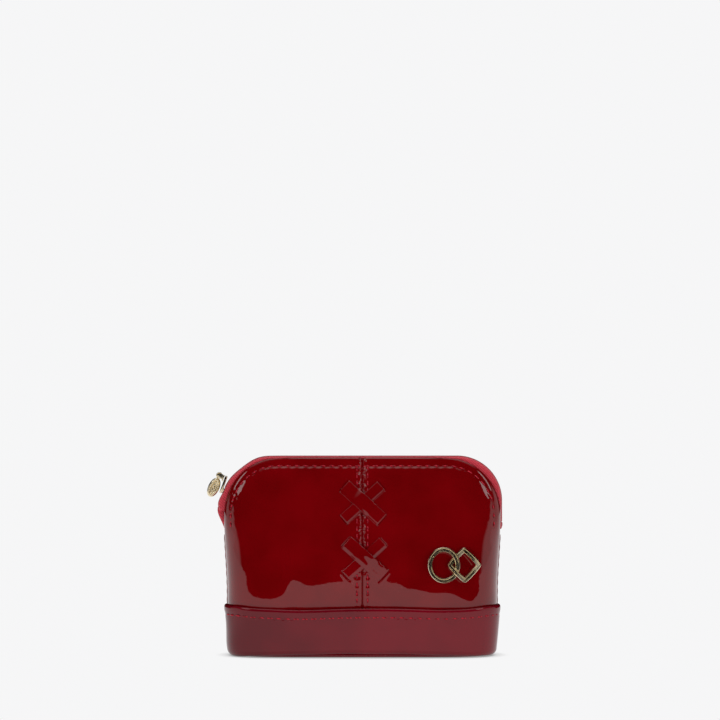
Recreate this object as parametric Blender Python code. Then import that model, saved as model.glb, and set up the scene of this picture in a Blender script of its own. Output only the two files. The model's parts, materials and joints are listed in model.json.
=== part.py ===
"""A small zip-top patent leather pouch on a boxed base.

Metres, +Z up, +X to the right and the front towards -Y.  The origin is the middle of the flat
underside.  Lengths below are in millimetres and are turned into metres where a mesh is made.
"""
from math import asin, atan2, cos, pi, radians, sin, sqrt, tan

import bmesh
import bpy
from mathutils import Matrix, Vector

MM = 0.001

# ---- driving dimensions, millimetres -------------------------------------------------------
FOOT_HALF_WIDTH = 57.2          # leather at the side seams, just above the band
BODY_HALF_WIDTH = 58.6          # the same where the shoulders start
WIDEN_FROM_Z = 26.0
WIDEN_TO_Z = 58.0
PLAN_POWER = 6.0                # flatness of the walls in plan
TOP_HALF_WIDTH = 36.2           # straight part of the leather's top edge
SHOULDER_START_Z = 59.8
TOP_Z = 83.2
BULGE_HALF_DEPTH = 20.0         # fullest depth of a wall, low down
BULGE_Z = 28.0
TOP_HALF_DEPTH = 4.4
SEAM_HALF_GAP = 1.3             # between a side seam's middle and a panel's edge
ZIP_HALF_GAP = 4.0              # between the zip's middle and a panel's edge
ZIP_GAP_START_Z = 46.0
ZIP_GAP_FULL_Z = 60.0

BAND_TOP_Z = 20.0
WALL_FOOT_Z = 18.8
SWING_AXIS_Z = 18.5
SWING_AXIS_Y = 19.1
LEATHER = 1.2
CLOTH = 0.5
TAPE = 0.4
MIDDLE_LAYER = 1.55             # depth of the tapes and plates behind the leather's face
LINING_LAYER = 2.4

ZIP_CORNER_X = 40.3             # centre and radius of the zip's rounded corners
ZIP_CORNER_Z = 65.3
ZIP_CORNER_R = 19.3
COIL_RADIUS = 0.6
COIL_INSET = 0.75
COIL_Y = 0.75
ZIP_FOOT_Z = 56.6                # right end of the teeth
LEFT_TAPE_FOOT_Z = 64.4
TAPE_REACH = 5.5                # how far a tape runs in behind the leather

SLIDER_ANGLE = radians(20.0)    # up the left corner from the horizontal
RUN_END_Z = 60.5                # height of the slider's middle when the zip is open
SLIDER_HALF_LENGTH = 3.75
PULL_PIVOT_T = 3.0
PULL_PIVOT_N = 4.3

CROSS_CENTRES = ((0.2, 64.4), (1.0, 41.2))
CROSS_HALF_X = 9.3
CROSS_HALF_Z = 8.3
STRAP_OVER_HALF_WIDTH = 2.9
STRAP_UNDER_HALF_WIDTH = 2.3
STRAP = 0.8
GAP = 0.35

BADGE_X = 38.2
BADGE_Z = 38.5
BADGE_HALF_Z = 7.5
BADGE_BAR = 1.9
BADGE_STAND_OFF = 0.9
RING_CENTRE = -4.5
RING_HALF_X = 6.8
LOZENGE_CENTRE = 4.2
LOZENGE_HALF_X = 7.2

FRONT = -1.0
BACK = 1.0


# ---- the wall's surface --------------------------------------------------------------------
def smooth(t):
    """0 below 0, 1 above 1, and a soft step between."""
    t = min(max(t, 0.0), 1.0)
    return t * t * (3.0 - 2.0 * t)


def half_width(z):
    """Half the width of the leather's outline at height z."""
    if z <= SHOULDER_START_Z:
        widen = smooth((z - WIDEN_FROM_Z) / (WIDEN_TO_Z - WIDEN_FROM_Z))
        return FOOT_HALF_WIDTH + (BODY_HALF_WIDTH - FOOT_HALF_WIDTH) * widen
    rise = min((z - SHOULDER_START_Z) / (TOP_Z - SHOULDER_START_Z), 1.0)
    return TOP_HALF_WIDTH + (BODY_HALF_WIDTH - TOP_HALF_WIDTH) * sqrt(1.0 - rise * rise)


def half_depth(z):
    """Half the depth of the pouch along its middle at height z."""
    if z < BULGE_Z:
        return BULGE_HALF_DEPTH - ((BULGE_Z - z) / 10.0) ** 2
    s = (z - BULGE_Z) / (TOP_Z - BULGE_Z)
    return TOP_HALF_DEPTH + (BULGE_HALF_DEPTH - TOP_HALF_DEPTH) * cos(s * pi / 2.0)


def edge_gap(z):
    """Distance of a panel's outer edge from the middle plane at height z."""
    t = (z - ZIP_GAP_START_Z) / (ZIP_GAP_FULL_Z - ZIP_GAP_START_Z)
    return SEAM_HALF_GAP + (ZIP_HALF_GAP - SEAM_HALF_GAP) * smooth(t)


def row_height(v):
    """Height of row v: 0 to 1 is the straight wall, 1 to 2 is the rounded shoulder."""
    if v <= 1.0:
        return WALL_FOOT_Z + (SHOULDER_START_Z - WALL_FOOT_Z) * v
    return SHOULDER_START_Z + (TOP_Z - SHOULDER_START_Z) * sin((v - 1.0) * pi / 2.0)


def row_at(z):
    """The row v at height z."""
    if z <= SHOULDER_START_Z:
        return (z - WALL_FOOT_Z) / (SHOULDER_START_Z - WALL_FOOT_Z)
    rise = min((z - SHOULDER_START_Z) / (TOP_Z - SHOULDER_START_Z), 1.0)
    return 1.0 + asin(rise) * 2.0 / pi


def wall_point(side, c, v):
    """Outer face of a wall: c runs -1 to 1 across it, finer near the side edges."""
    z = row_height(v)
    t = abs(c)
    u = 1.0 - (1.0 - t) ** 2
    bulge = sqrt(max(1.0 - u ** PLAN_POWER, 0.0)) * (1.0 if t <= 1.0 else -1.0)
    gap = edge_gap(z)
    x = half_width(z) * u * (1.0 if c >= 0.0 else -1.0)
    return Vector((x, side * (gap + (half_depth(z) - gap) * bulge), z))


def wall_normal(side, c, v):
    """Outward normal of the wall's outer face."""
    step = 0.004
    v = min(max(v, step), 1.97)
    across = wall_point(side, c + step, v) - wall_point(side, c - step, v)
    up = wall_point(side, c, v + step) - wall_point(side, c, v - step)
    normal = across.cross(up).normalized()
    return normal if side < 0 else -normal


def wall_inset(side, c, v, depth):
    """A point behind the wall's face, or in front of it where depth is negative."""
    return wall_point(side, c, v) - wall_normal(side, c, v) * depth


def across_at(x, z):
    """The c of a point x on the wall at height z."""
    u = min(abs(x) / half_width(z), 1.0)
    return (1.0 - sqrt(1.0 - u)) * (1.0 if x >= 0.0 else -1.0)


def on_wall(side, x, z, depth):
    """The point of the wall at x and z, set in by depth."""
    return wall_inset(side, across_at(x, z), row_at(z), depth)


# ---- meshes --------------------------------------------------------------------------------
def material(name, colour, roughness, metallic=0.0):
    made = bpy.data.materials.new(name)
    made.use_nodes = True
    shader = made.node_tree.nodes["Principled BSDF"]
    shader.inputs["Base Color"].default_value = (*colour, 1.0)
    shader.inputs["Roughness"].default_value = roughness
    shader.inputs["Metallic"].default_value = metallic
    return made


def finish_mesh(name, bm, look, body, smooth_angle=40.0):
    """Turn millimetres into metres, and hang the object on its body's empty."""
    bmesh.ops.remove_doubles(bm, verts=bm.verts, dist=0.001)
    bmesh.ops.recalc_face_normals(bm, faces=bm.faces)
    if bm.calc_volume(signed=True) < 0.0:
        bmesh.ops.reverse_faces(bm, faces=bm.faces)
    bmesh.ops.transform(bm, matrix=Matrix.Scale(MM, 4), verts=bm.verts)
    mesh = bpy.data.meshes.new(name)
    bm.to_mesh(mesh)
    bm.free()
    mesh.shade_smooth()
    mesh.set_sharp_from_angle(angle=radians(smooth_angle))
    mesh.materials.append(look)
    made = bpy.data.objects.new(name, mesh)
    bpy.context.scene.collection.objects.link(made)
    made.parent = body
    made.matrix_parent_inverse = body.matrix_world.inverted()
    return made


def shell(name, outer, inner, look, body):
    """A closed sheet between two grids of points of the same shape."""
    bm = bmesh.new()
    faces = []
    for grid in (outer, inner):
        faces.append([[bm.verts.new(p) for p in row] for row in grid])
    a, b = faces
    rows = len(outer)
    columns = len(outer[0])
    for i in range(rows - 1):
        for j in range(columns - 1):
            bm.faces.new((a[i][j], a[i][j + 1], a[i + 1][j + 1], a[i + 1][j]))
            bm.faces.new((b[i][j], b[i + 1][j], b[i + 1][j + 1], b[i][j + 1]))
    for i in range(rows - 1):
        bm.faces.new((a[i][0], a[i + 1][0], b[i + 1][0], b[i][0]))
        bm.faces.new((a[i + 1][-1], a[i][-1], b[i][-1], b[i + 1][-1]))
    for j in range(columns - 1):
        bm.faces.new((a[0][j + 1], a[0][j], b[0][j], b[0][j + 1]))
        bm.faces.new((a[-1][j], a[-1][j + 1], b[-1][j + 1], b[-1][j]))
    return finish_mesh(name, bm, look, body)


def tube(name, points, radius, sides, look, body):
    """A closed round bar along a path that stays in an XZ plane."""
    bm = bmesh.new()
    rings = []
    for i, point in enumerate(points):
        ahead = points[min(i + 1, len(points) - 1)]
        behind = points[max(i - 1, 0)]
        out = (ahead - behind).cross(Vector((0, 1, 0))).normalized()
        ring = []
        for k in range(sides):
            angle = 2.0 * pi * k / sides
            ring.append(bm.verts.new(point + out * radius * cos(angle)
                                     + Vector((0, radius * sin(angle), 0))))
        rings.append(ring)
    for low, high in zip(rings, rings[1:]):
        for k in range(sides):
            n = (k + 1) % sides
            bm.faces.new((low[k], low[n], high[n], high[k]))
    bm.faces.new(rings[0])
    bm.faces.new(rings[-1])
    return finish_mesh(name, bm, look, body)


def block(name, size, place, look, body, rounding=0.3):
    """A box with rounded edges; place is its matrix."""
    bm = bmesh.new()
    bmesh.ops.create_cube(bm, size=1.0)
    bmesh.ops.scale(bm, vec=size, verts=bm.verts)
    bmesh.ops.bevel(bm, geom=bm.edges[:], offset=rounding, segments=1, affect="EDGES")
    bmesh.ops.transform(bm, matrix=place, verts=bm.verts)
    return finish_mesh(name, bm, look, body)


def prism(outline, low, high, place):
    """A closed bmesh: an outline in its own XY, raised from low to high, then placed."""
    bm = bmesh.new()
    ring = [bm.verts.new((x, y, low)) for x, y in outline]
    face = bm.faces.new(ring)
    grown = bmesh.ops.extrude_face_region(bm, geom=[face])
    raised = [v for v in grown["geom"] if isinstance(v, bmesh.types.BMVert)]
    bmesh.ops.translate(bm, vec=(0, 0, high - low), verts=raised)
    bmesh.ops.recalc_face_normals(bm, faces=bm.faces)
    bmesh.ops.transform(bm, matrix=place, verts=bm.verts)
    return bm


def combine(target, tools, look):
    """Join or cut a solid with others, one Boolean each, and drop the tools."""
    for operation, bm in tools:
        tool = finish_mesh(target.name + "_tool", bm, look, target.parent)
        change = target.modifiers.new(operation.lower(), "BOOLEAN")
        change.operation = operation
        change.solver = "EXACT"
        change.object = tool
        tool.hide_render = True
        tool.display_type = "WIRE"


def ellipse(half_x, half_y, count, centre=(0.0, 0.0)):
    return [(centre[0] + half_x * cos(2 * pi * k / count), centre[1] + half_y * sin(2 * pi * k / count))
            for k in range(count)]


# ---- leather, lining and what lies between --------------------------------------------------
WALL_COLUMNS = 12
WALL_ROWS = (0.0, 0.12, 0.3, 0.5, 0.7, 0.86, 1.0, 1.18, 1.36, 1.54, 1.72, 1.87, 2.0)
SEAM_HALF = 0.2                 # half the gap at a wall's centre seam
LINING_TOP_ROW = 1.72
LINING_REACH = 0.78             # how far across it goes before the tapes need the room


def wall_grid(side, columns, rows, depth):
    return [[wall_inset(side, c, v, depth) for c in columns] for v in rows]


def wall_panel(name, side, hand, look, body):
    """One leather panel, from the centre seam to a side seam."""
    columns = [hand * k / WALL_COLUMNS for k in range(WALL_COLUMNS + 1)]
    outer = wall_grid(side, columns, WALL_ROWS, 0.0)
    inner = wall_grid(side, columns, WALL_ROWS, LEATHER)
    for grid in (outer, inner):
        for row in grid:
            row[0].x = hand * SEAM_HALF
    return shell(name, outer, inner, look, body)


def wall_lining(name, side, look, body):
    """A wall's lining, in one piece from side to side."""
    columns = [LINING_REACH * k / WALL_COLUMNS for k in range(-WALL_COLUMNS, WALL_COLUMNS + 1)]
    rows = [v for v in WALL_ROWS if v <= LINING_TOP_ROW]
    outer = wall_grid(side, columns, rows, LINING_LAYER)
    inner = wall_grid(side, columns, rows, LINING_LAYER + CLOTH)
    return shell(name, outer, inner, look, body)


def seam_tape(name, side, look, body):
    """The strip that backs a wall's centre seam."""
    heights = [22.0 + 54.0 * k / 8 for k in range(9)]
    places = (-4.5, -1.5, 1.5, 4.5)
    outer = [[on_wall(side, x, z, MIDDLE_LAYER) for x in places] for z in heights]
    inner = [[on_wall(side, x, z, MIDDLE_LAYER + TAPE) for x in places] for z in heights]
    return shell(name, outer, inner, look, body)


def slip_pocket(look, body):
    """The flat pocket on the back lining."""
    heights = [24.0 + 26.0 * k / 5 for k in range(6)]
    places = [-34.0 + 68.0 * k / 8 for k in range(9)]
    near = LINING_LAYER + CLOTH + GAP
    outer = [[on_wall(BACK, x, z, near) for x in places] for z in heights]
    inner = [[on_wall(BACK, x, z, near + CLOTH) for x in places] for z in heights]
    return shell("slip_pocket", outer, inner, look, body)


def badge_clip_plate(look, body):
    """The thin plate behind the leather that the badge's prongs fold over."""
    heights = [BADGE_Z - 5.0 + 10.0 * k / 3 for k in range(4)]
    places = [BADGE_X - 8.0 + 16.0 * k / 4 for k in range(5)]
    outer = [[on_wall(FRONT, x, z, MIDDLE_LAYER) for x in places] for z in heights]
    inner = [[on_wall(FRONT, x, z, MIDDLE_LAYER + TAPE) for x in places] for z in heights]
    return shell("badge_clip_plate", outer, inner, look, body)


BAND_PROFILE = (                # height, half width, half depth
    (20.0, 58.7, 21.0), (15.0, 58.3, 20.6), (8.5, 57.7, 20.0), (3.0, 57.1, 19.4),
    (1.4, 56.4, 18.6), (0.5, 55.4, 17.6), (0.2, 54.5, 16.6),
)
BAND_COLUMNS = 18
PLAN_FULLNESS = 0.85            # below 1 the plan outline is fuller at its ends


def ring_point(side, angle, half_x, half_y, z):
    """A point of the plan outline: flat front, tightly rounded ends."""
    c = cos(angle)
    x = half_x * abs(c) ** (2.0 / PLAN_POWER) * (1.0 if c >= 0.0 else -1.0)
    swell = abs(sin(angle)) ** PLAN_FULLNESS
    return Vector((x, side * half_y * swell * (1.0 if sin(angle) >= 0.0 else -1.0), z))


def band_angles():
    start = 0.004
    return [start + (pi - 2.0 * start) * k / BAND_COLUMNS for k in range(BAND_COLUMNS + 1)]


def band(name, side, look, body):
    """Half of the band round the foot; its lower edge rolls under."""
    outer = [[ring_point(side, a, w, d, z) for a in band_angles()] for z, w, d in BAND_PROFILE]
    inner = []
    for z, w, d in BAND_PROFILE:
        lift = LEATHER if z < 1.0 else 0.0
        inset = LEATHER * (0.55 if z < 1.0 else 1.0)
        inner.append([ring_point(side, a, w - inset, d - inset, z + lift) for a in band_angles()])
    for grid in (outer, inner):
        for row in grid:
            for point in row:
                point.y = side * max(abs(point.y), 0.2)
    return shell(name, outer, inner, look, body)


def flat_plate(name, half_x, half_y, low, high, look, body):
    """A flat piece with the foot's plan outline."""
    count = 40
    outline = []
    for k in range(count):
        p = ring_point(1.0, 2.0 * pi * k / count, half_x, half_y, 0.0)
        outline.append((p.x, p.y))
    bm = prism(outline, low, high, Matrix())
    return finish_mesh(name, bm, look, body)


def base_lining(look, body):
    """A shallow cloth tray that covers the base board and the inside of the band."""
    profile = ((18.2, 55.6, 17.6), (8.0, 54.6, 16.8), (4.2, 53.8, 16.0))
    angles = [2.0 * pi * k / 40 for k in range(40)]
    bm = bmesh.new()
    rings = []
    for extra, order in ((0.0, profile), (CLOTH, tuple(reversed(profile)))):
        for z, w, d in order:
            height = z + extra if z < 5.0 else z
            points = [ring_point(1.0, a, w - extra, d - extra, height) for a in angles]
            rings.append([bm.verts.new(p) for p in points])
    rings.append(rings[0])
    for index, (first, second) in enumerate(zip(rings, rings[1:])):
        if index == len(profile) - 1:
            continue
        for k in range(len(angles)):
            n = (k + 1) % len(angles)
            bm.faces.new((first[k], first[n], second[n], second[k]))
    bm.faces.new(rings[len(profile) - 1])
    bm.faces.new(rings[len(profile)])
    return finish_mesh("base_lining", bm, look, body)


def side_piping(name, hand, look, body):
    """The narrow strip in a side seam, from the band up to the end of the zip."""
    heights = [BAND_TOP_Z + 0.8 + 30.0 * k / 6 for k in range(7)]
    profile = ((-0.8, 0.0), (0.0, 0.6), (0.8, 0.0))
    outer = [[Vector((hand * (half_width(z) + crown), y, z)) for y, crown in profile] for z in heights]
    inner = [[Vector((hand * (half_width(z) - 1.5), y, z)) for y, _ in profile] for z in heights]
    return shell(name, outer, inner, look, body)


def strap(name, centre, slope, half_width_mm, lift, look, body):
    """A short strap laid slantwise over the centre seam; lift is how far its middle rises."""
    along = Vector((CROSS_HALF_X, slope * CROSS_HALF_Z)) * 0.86
    side_step = Vector((-along.y, along.x)).normalized() * half_width_mm
    outer = []
    inner = []
    for k in range(11):
        t = -1.0 + 2.0 * k / 10
        rise = GAP + lift * smooth((0.62 - abs(t)) / 0.3)
        top_row = []
        low_row = []
        for s in (-1.0, 0.0, 1.0):
            p = along * t + side_step * s
            top_row.append(on_wall(FRONT, centre[0] + p.x, centre[1] + p.y, -(rise + STRAP)))
            low_row.append(on_wall(FRONT, centre[0] + p.x, centre[1] + p.y, -rise))
        outer.append(top_row)
        inner.append(low_row)
    return shell(name, outer, inner, look, body)


def frame_prism(outer, inner, low, high, place):
    """A closed flat frame between two outlines with the same number of points."""
    bm = bmesh.new()
    loops = []
    for outline, height in ((outer, low), (outer, high), (inner, high), (inner, low)):
        loops.append([bm.verts.new((x, y, height)) for x, y in outline])
    count = len(outer)
    for first, second in zip(loops, loops[1:] + loops[:1]):
        for k in range(count):
            n = (k + 1) % count
            bm.faces.new((first[k], first[n], second[n], second[k]))
    bmesh.ops.recalc_face_normals(bm, faces=bm.faces)
    bmesh.ops.transform(bm, matrix=place, verts=bm.verts)
    return bm


def lozenge(half_x, half_y, centre):
    """A diamond outline, with three points along each side."""
    corners = ((half_x, 0.0), (0.0, half_y), (-half_x, 0.0), (0.0, -half_y))
    points = []
    for (x0, y0), (x1, y1) in zip(corners, corners[1:] + corners[:1]):
        points += [(centre + x0 + (x1 - x0) * k / 3, y0 + (y1 - y0) * k / 3) for k in range(3)]
    return points


def badge_place():
    """The badge's own frame: +X to the right, +Y up and +Z out of the leather."""
    out = wall_normal(FRONT, across_at(BADGE_X, BADGE_Z), row_at(BADGE_Z))
    right = out.cross(Vector((0.0, 0.0, -1.0))).normalized()
    up = out.cross(right)
    middle = on_wall(FRONT, BADGE_X, BADGE_Z, -BADGE_STAND_OFF)
    return Matrix.Translation(middle) @ Matrix((right, up, out)).transposed().to_4x4()


def badge(look, body):
    """A ring and a lozenge that overlap, cast in one piece."""
    place = badge_place()
    ring = frame_prism(ellipse(RING_HALF_X, BADGE_HALF_Z, 32, (RING_CENTRE, 0.0)),
                       ellipse(RING_HALF_X - BADGE_BAR, BADGE_HALF_Z - BADGE_BAR, 32, (RING_CENTRE, 0.0)),
                       0.0, 2.0, place)
    made = finish_mesh("badge", ring, look, body)
    frame = frame_prism(lozenge(LOZENGE_HALF_X, BADGE_HALF_Z, LOZENGE_CENTRE),
                        lozenge(LOZENGE_HALF_X - 1.3 * BADGE_BAR, BADGE_HALF_Z - 1.5 * BADGE_BAR,
                                LOZENGE_CENTRE), 0.25, 1.75, place)
    combine(made, (("UNION", frame),), look)
    return made


# ---- the zip ---------------------------------------------------------------------------------
def zip_corner(hand, angle, inset):
    """A point of the zip's rounded corner; the angle is up from the horizontal."""
    radius = ZIP_CORNER_R - inset
    return Vector((hand * (ZIP_CORNER_X + radius * cos(angle)), 0.0, ZIP_CORNER_Z + radius * sin(angle)))


def zip_path(start_angle, inset, y):
    """From the left corner at start_angle, over the top, to the zip's foot on the right."""
    points = [zip_corner(-1.0, start_angle + (pi / 2 - start_angle) * k / 10, inset) for k in range(11)]
    points += [Vector((ZIP_CORNER_X * (k / 4 - 1.0), 0.0, ZIP_CORNER_Z + ZIP_CORNER_R - inset))
               for k in range(1, 8)]
    points += [zip_corner(1.0, pi / 2 * (1.0 - k / 12), inset) for k in range(13)]
    points.append(Vector((ZIP_CORNER_X + ZIP_CORNER_R - inset, 0.0, ZIP_FOOT_Z)))
    for point in points:
        point.y = y
    return points


def nearest_on_zip(x, z, inset):
    """The point of the zip's outline nearest to a point of the leather's edge."""
    hand = 1.0 if x >= 0.0 else -1.0
    if z <= ZIP_CORNER_Z:
        return Vector((hand * (ZIP_CORNER_X + ZIP_CORNER_R - inset), 0.0, z))
    if abs(x) <= ZIP_CORNER_X:
        return Vector((x, 0.0, ZIP_CORNER_Z + ZIP_CORNER_R - inset))
    return zip_corner(hand, atan2(z - ZIP_CORNER_Z, abs(x) - ZIP_CORNER_X), inset)


def leather_edge():
    """Walks the leather's top edge from the left end of the zip to the right end."""
    first = row_at(LEFT_TAPE_FOOT_Z)
    last = row_at(ZIP_FOOT_Z)
    left = [(-1.0, first + (2.0 - first) * k / 12) for k in range(13)]
    top = [(-1.0 + 2.0 * k / 12, 2.0) for k in range(1, 12)]
    right = [(1.0, 2.0 - (2.0 - last) * k / 14) for k in range(15)]
    return left + top + right


def edge_outward(c, v):
    """Outward direction of the leather's outline in the XZ plane."""
    if abs(c) < 1.0:
        return Vector((0.0, 0.0, 1.0))
    a = (min(max(v, 1.0), 2.0) - 1.0) * pi / 2.0
    rise = TOP_Z - SHOULDER_START_Z
    run = BODY_HALF_WIDTH - TOP_HALF_WIDTH
    return Vector((c * cos(a) * rise, 0.0, sin(a) * run)).normalized()


def zip_tape(name, side, look, body):
    """The woven tape: level beside the teeth, then down and in behind the leather."""
    middle = []
    for c, v in leather_edge():
        edge = wall_point(side, c, v)
        out = edge_outward(c, v)
        sideways = abs(out.x)
        level = side * min(2.6 + 0.85 * sideways, edge_gap(edge.z) - 0.55)
        at_teeth = nearest_on_zip(edge.x, edge.z, COIL_INSET)
        at_teeth.y = side * 1.7
        shoulder = nearest_on_zip(edge.x, edge.z, COIL_INSET + 0.2)
        shoulder.y = level
        tucked = edge - out * (1.0 + 0.75 * sideways)
        tucked.y = level
        near = edge - out * 3.0
        far = edge - out * TAPE_REACH
        depth = MIDDLE_LAYER + TAPE / 2
        middle.append([at_teeth, shoulder, tucked, on_wall(side, near.x, near.z, depth),
                       on_wall(side, far.x, far.z, depth)])
    return shell(name, *thickened(middle, TAPE), look, body)


def thickened(grid, thickness):
    """Two grids, half the thickness to each side of a middle one."""
    outer = []
    inner = []
    for i, row in enumerate(grid):
        top = []
        low = []
        for j, point in enumerate(row):
            along = grid[min(i + 1, len(grid) - 1)][j] - grid[max(i - 1, 0)][j]
            across = row[min(j + 1, len(row) - 1)] - row[max(j - 1, 0)]
            step = along.cross(across).normalized() * (thickness / 2.0)
            top.append(point + step)
            low.append(point - step)
        outer.append(top)
        inner.append(low)
    return outer, inner


def zip_end(name, hand, low, high, reach, look, body):
    """The folded end of the two tapes, tucked into the side seam."""
    outer = []
    inner = []
    for k in range(7):
        t = k / 6
        z = low + (high - low) * t
        swell = reach * sin(pi * (0.12 + 0.8 * t)) ** 0.8
        wide = 0.8 + 0.9 * sin(pi * t)
        outer.append([Vector((hand * (58.2 + swell * f), y * wide, z))
                      for y, f in ((-1.0, 0.0), (-0.6, 0.8), (0.0, 1.0), (0.6, 0.8), (1.0, 0.0))])
        inner.append([Vector((hand * 56.8, y * wide * 0.8, z)) for y in (-1.0, -0.6, 0.0, 0.6, 1.0)])
    return shell(name, outer, inner, look, body)


def slider_frame():
    """The slider's own frame: +X up along the teeth, +Y across them, +Z out of the pouch."""
    centre = zip_corner(-1.0, SLIDER_ANGLE, COIL_INSET)
    tangent = Vector((sin(SLIDER_ANGLE), 0.0, cos(SLIDER_ANGLE)))
    outward = Vector((-cos(SLIDER_ANGLE), 0.0, sin(SLIDER_ANGLE)))
    across = outward.cross(tangent)
    return Matrix.Translation(centre) @ Matrix((tangent, across, outward)).transposed().to_4x4()


def slider_body(look, body):
    """Two wings joined by a post between the two rows of teeth."""
    place = slider_frame()
    long = SLIDER_HALF_LENGTH
    wing = [(-long, -2.9), (-long * 0.3, -2.9), (long, -2.2), (long, 2.2), (-long * 0.3, 2.9), (-long, 2.9)]
    made = finish_mesh("slider_body", prism(wing, 1.1, 1.8, place), look, body)
    narrow = [(x, y * 0.9) for x, y in wing]
    lower = prism(narrow, -1.8, -1.1, place)
    post = prism(((-3.5, -0.5), (-1.8, -0.6), (-1.5, 0.0), (-1.8, 0.6), (-3.5, 0.5)), -1.5, 1.5, place)
    combine(made, (("UNION", post), ("UNION", lower)), look)
    return made


def slider_bridge(look, body):
    """Two ears on a foot, with the pin that the pull hangs on."""
    place = slider_frame()
    foot = [(1.2, -2.0), (3.7, -2.0), (3.7, 2.0), (1.2, 2.0)]
    made = finish_mesh("slider_bridge", prism(foot, 2.1, 2.6, place), look, body)
    flat = Matrix.Rotation(radians(90.0), 4, "X")
    ear = [(1.9, 2.3), (3.7, 2.3), (4.0, 4.3), (3.5, 5.2), (2.5, 5.2), (2.0, 4.3)]
    tools = [("UNION", prism(ear, low, low + 0.7, place @ flat)) for low in (-1.85, 1.15)]
    pin = ellipse(0.5, 0.5, 12, (PULL_PIVOT_T, PULL_PIVOT_N))
    tools.append(("UNION", prism(pin, -1.5, 1.5, place @ flat)))
    combine(made, tools, look)
    return made


PULL_TILT = radians(5.0)
PULL_REACH = 5.6                # from the pin to the middle of the drop


def pull_tab(look, body):
    """A flat drop-shaped pull with an eye at the top and an open window."""
    flat = Matrix.Rotation(radians(90.0), 4, "X")
    pivot = Matrix.Translation((PULL_PIVOT_T, PULL_PIVOT_N, 0.0))
    hang = Matrix.Rotation(pi - PULL_TILT, 4, "Z")
    place = slider_frame() @ flat @ pivot @ hang
    made = finish_mesh("pull_tab", prism(ellipse(1.35, 1.35, 20), -0.8, 0.8, place), look, body)
    neck = [(0.9, -0.7), (2.6, -0.7), (2.6, 0.7), (0.9, 0.7)]
    drop = ellipse(4.3, 2.4, 28, (PULL_REACH, 0.0))
    window = ellipse(1.9, 0.7, 20, (PULL_REACH, 0.0))
    eye = ellipse(0.85, 0.85, 16)
    combine(made, (("UNION", prism(neck, -0.75, 0.75, place)), ("UNION", prism(drop, -1.3, 1.3, place)),
                   ("DIFFERENCE", prism(window, -2.0, 2.0, place)),
                   ("DIFFERENCE", prism(eye, -2.0, 2.0, place))), look)
    return made


def top_stop(name, side, look, body):
    """The metal stop at the closed end of one row of teeth."""
    angle = SLIDER_ANGLE - 4.9 / ZIP_CORNER_R
    centre = zip_corner(-1.0, angle, COIL_INSET)
    centre.y = side * 0.75
    turn = Matrix.Rotation(angle, 4, "Y")
    return block(name, (1.3, 0.8, 1.1), Matrix.Translation(centre) @ turn, look, body, 0.2)


def bottom_stop(look, body):
    """The moulded stop that holds the two rows of teeth together at the far end."""
    centre = Vector((ZIP_CORNER_X + ZIP_CORNER_R - COIL_INSET, 0.0, ZIP_FOOT_Z - 1.3))
    return block("bottom_stop", (1.4, 2.4, 1.8), Matrix.Translation(centre), look, body, 0.3)


# ---- assembly --------------------------------------------------------------------------------
def axis_empty(name, place, parent=None):
    """An empty on a joint's axis, which carries the pieces that move together."""
    made = bpy.data.objects.new(name, None)
    bpy.context.scene.collection.objects.link(made)
    made.location = place * MM
    if parent:
        bpy.context.view_layer.update()
        made.parent = parent
        made.matrix_parent_inverse = parent.matrix_world.inverted()
    bpy.context.view_layer.update()
    return made


def run_centre():
    """The one centre that turns the slider from its shut end, facing up, to its open end, facing down."""
    start = zip_corner(-1.0, SLIDER_ANGLE, COIL_INSET)
    end = Vector((ZIP_CORNER_X + ZIP_CORNER_R - COIL_INSET, 0.0, RUN_END_Z))
    chord = end - start
    half_turn = (pi - SLIDER_ANGLE) / 2.0
    drop = chord.length / 2.0 / tan(half_turn)
    below = Vector((chord.z, 0.0, -chord.x)).normalized()
    return (start + end) / 2.0 + below * drop


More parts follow.
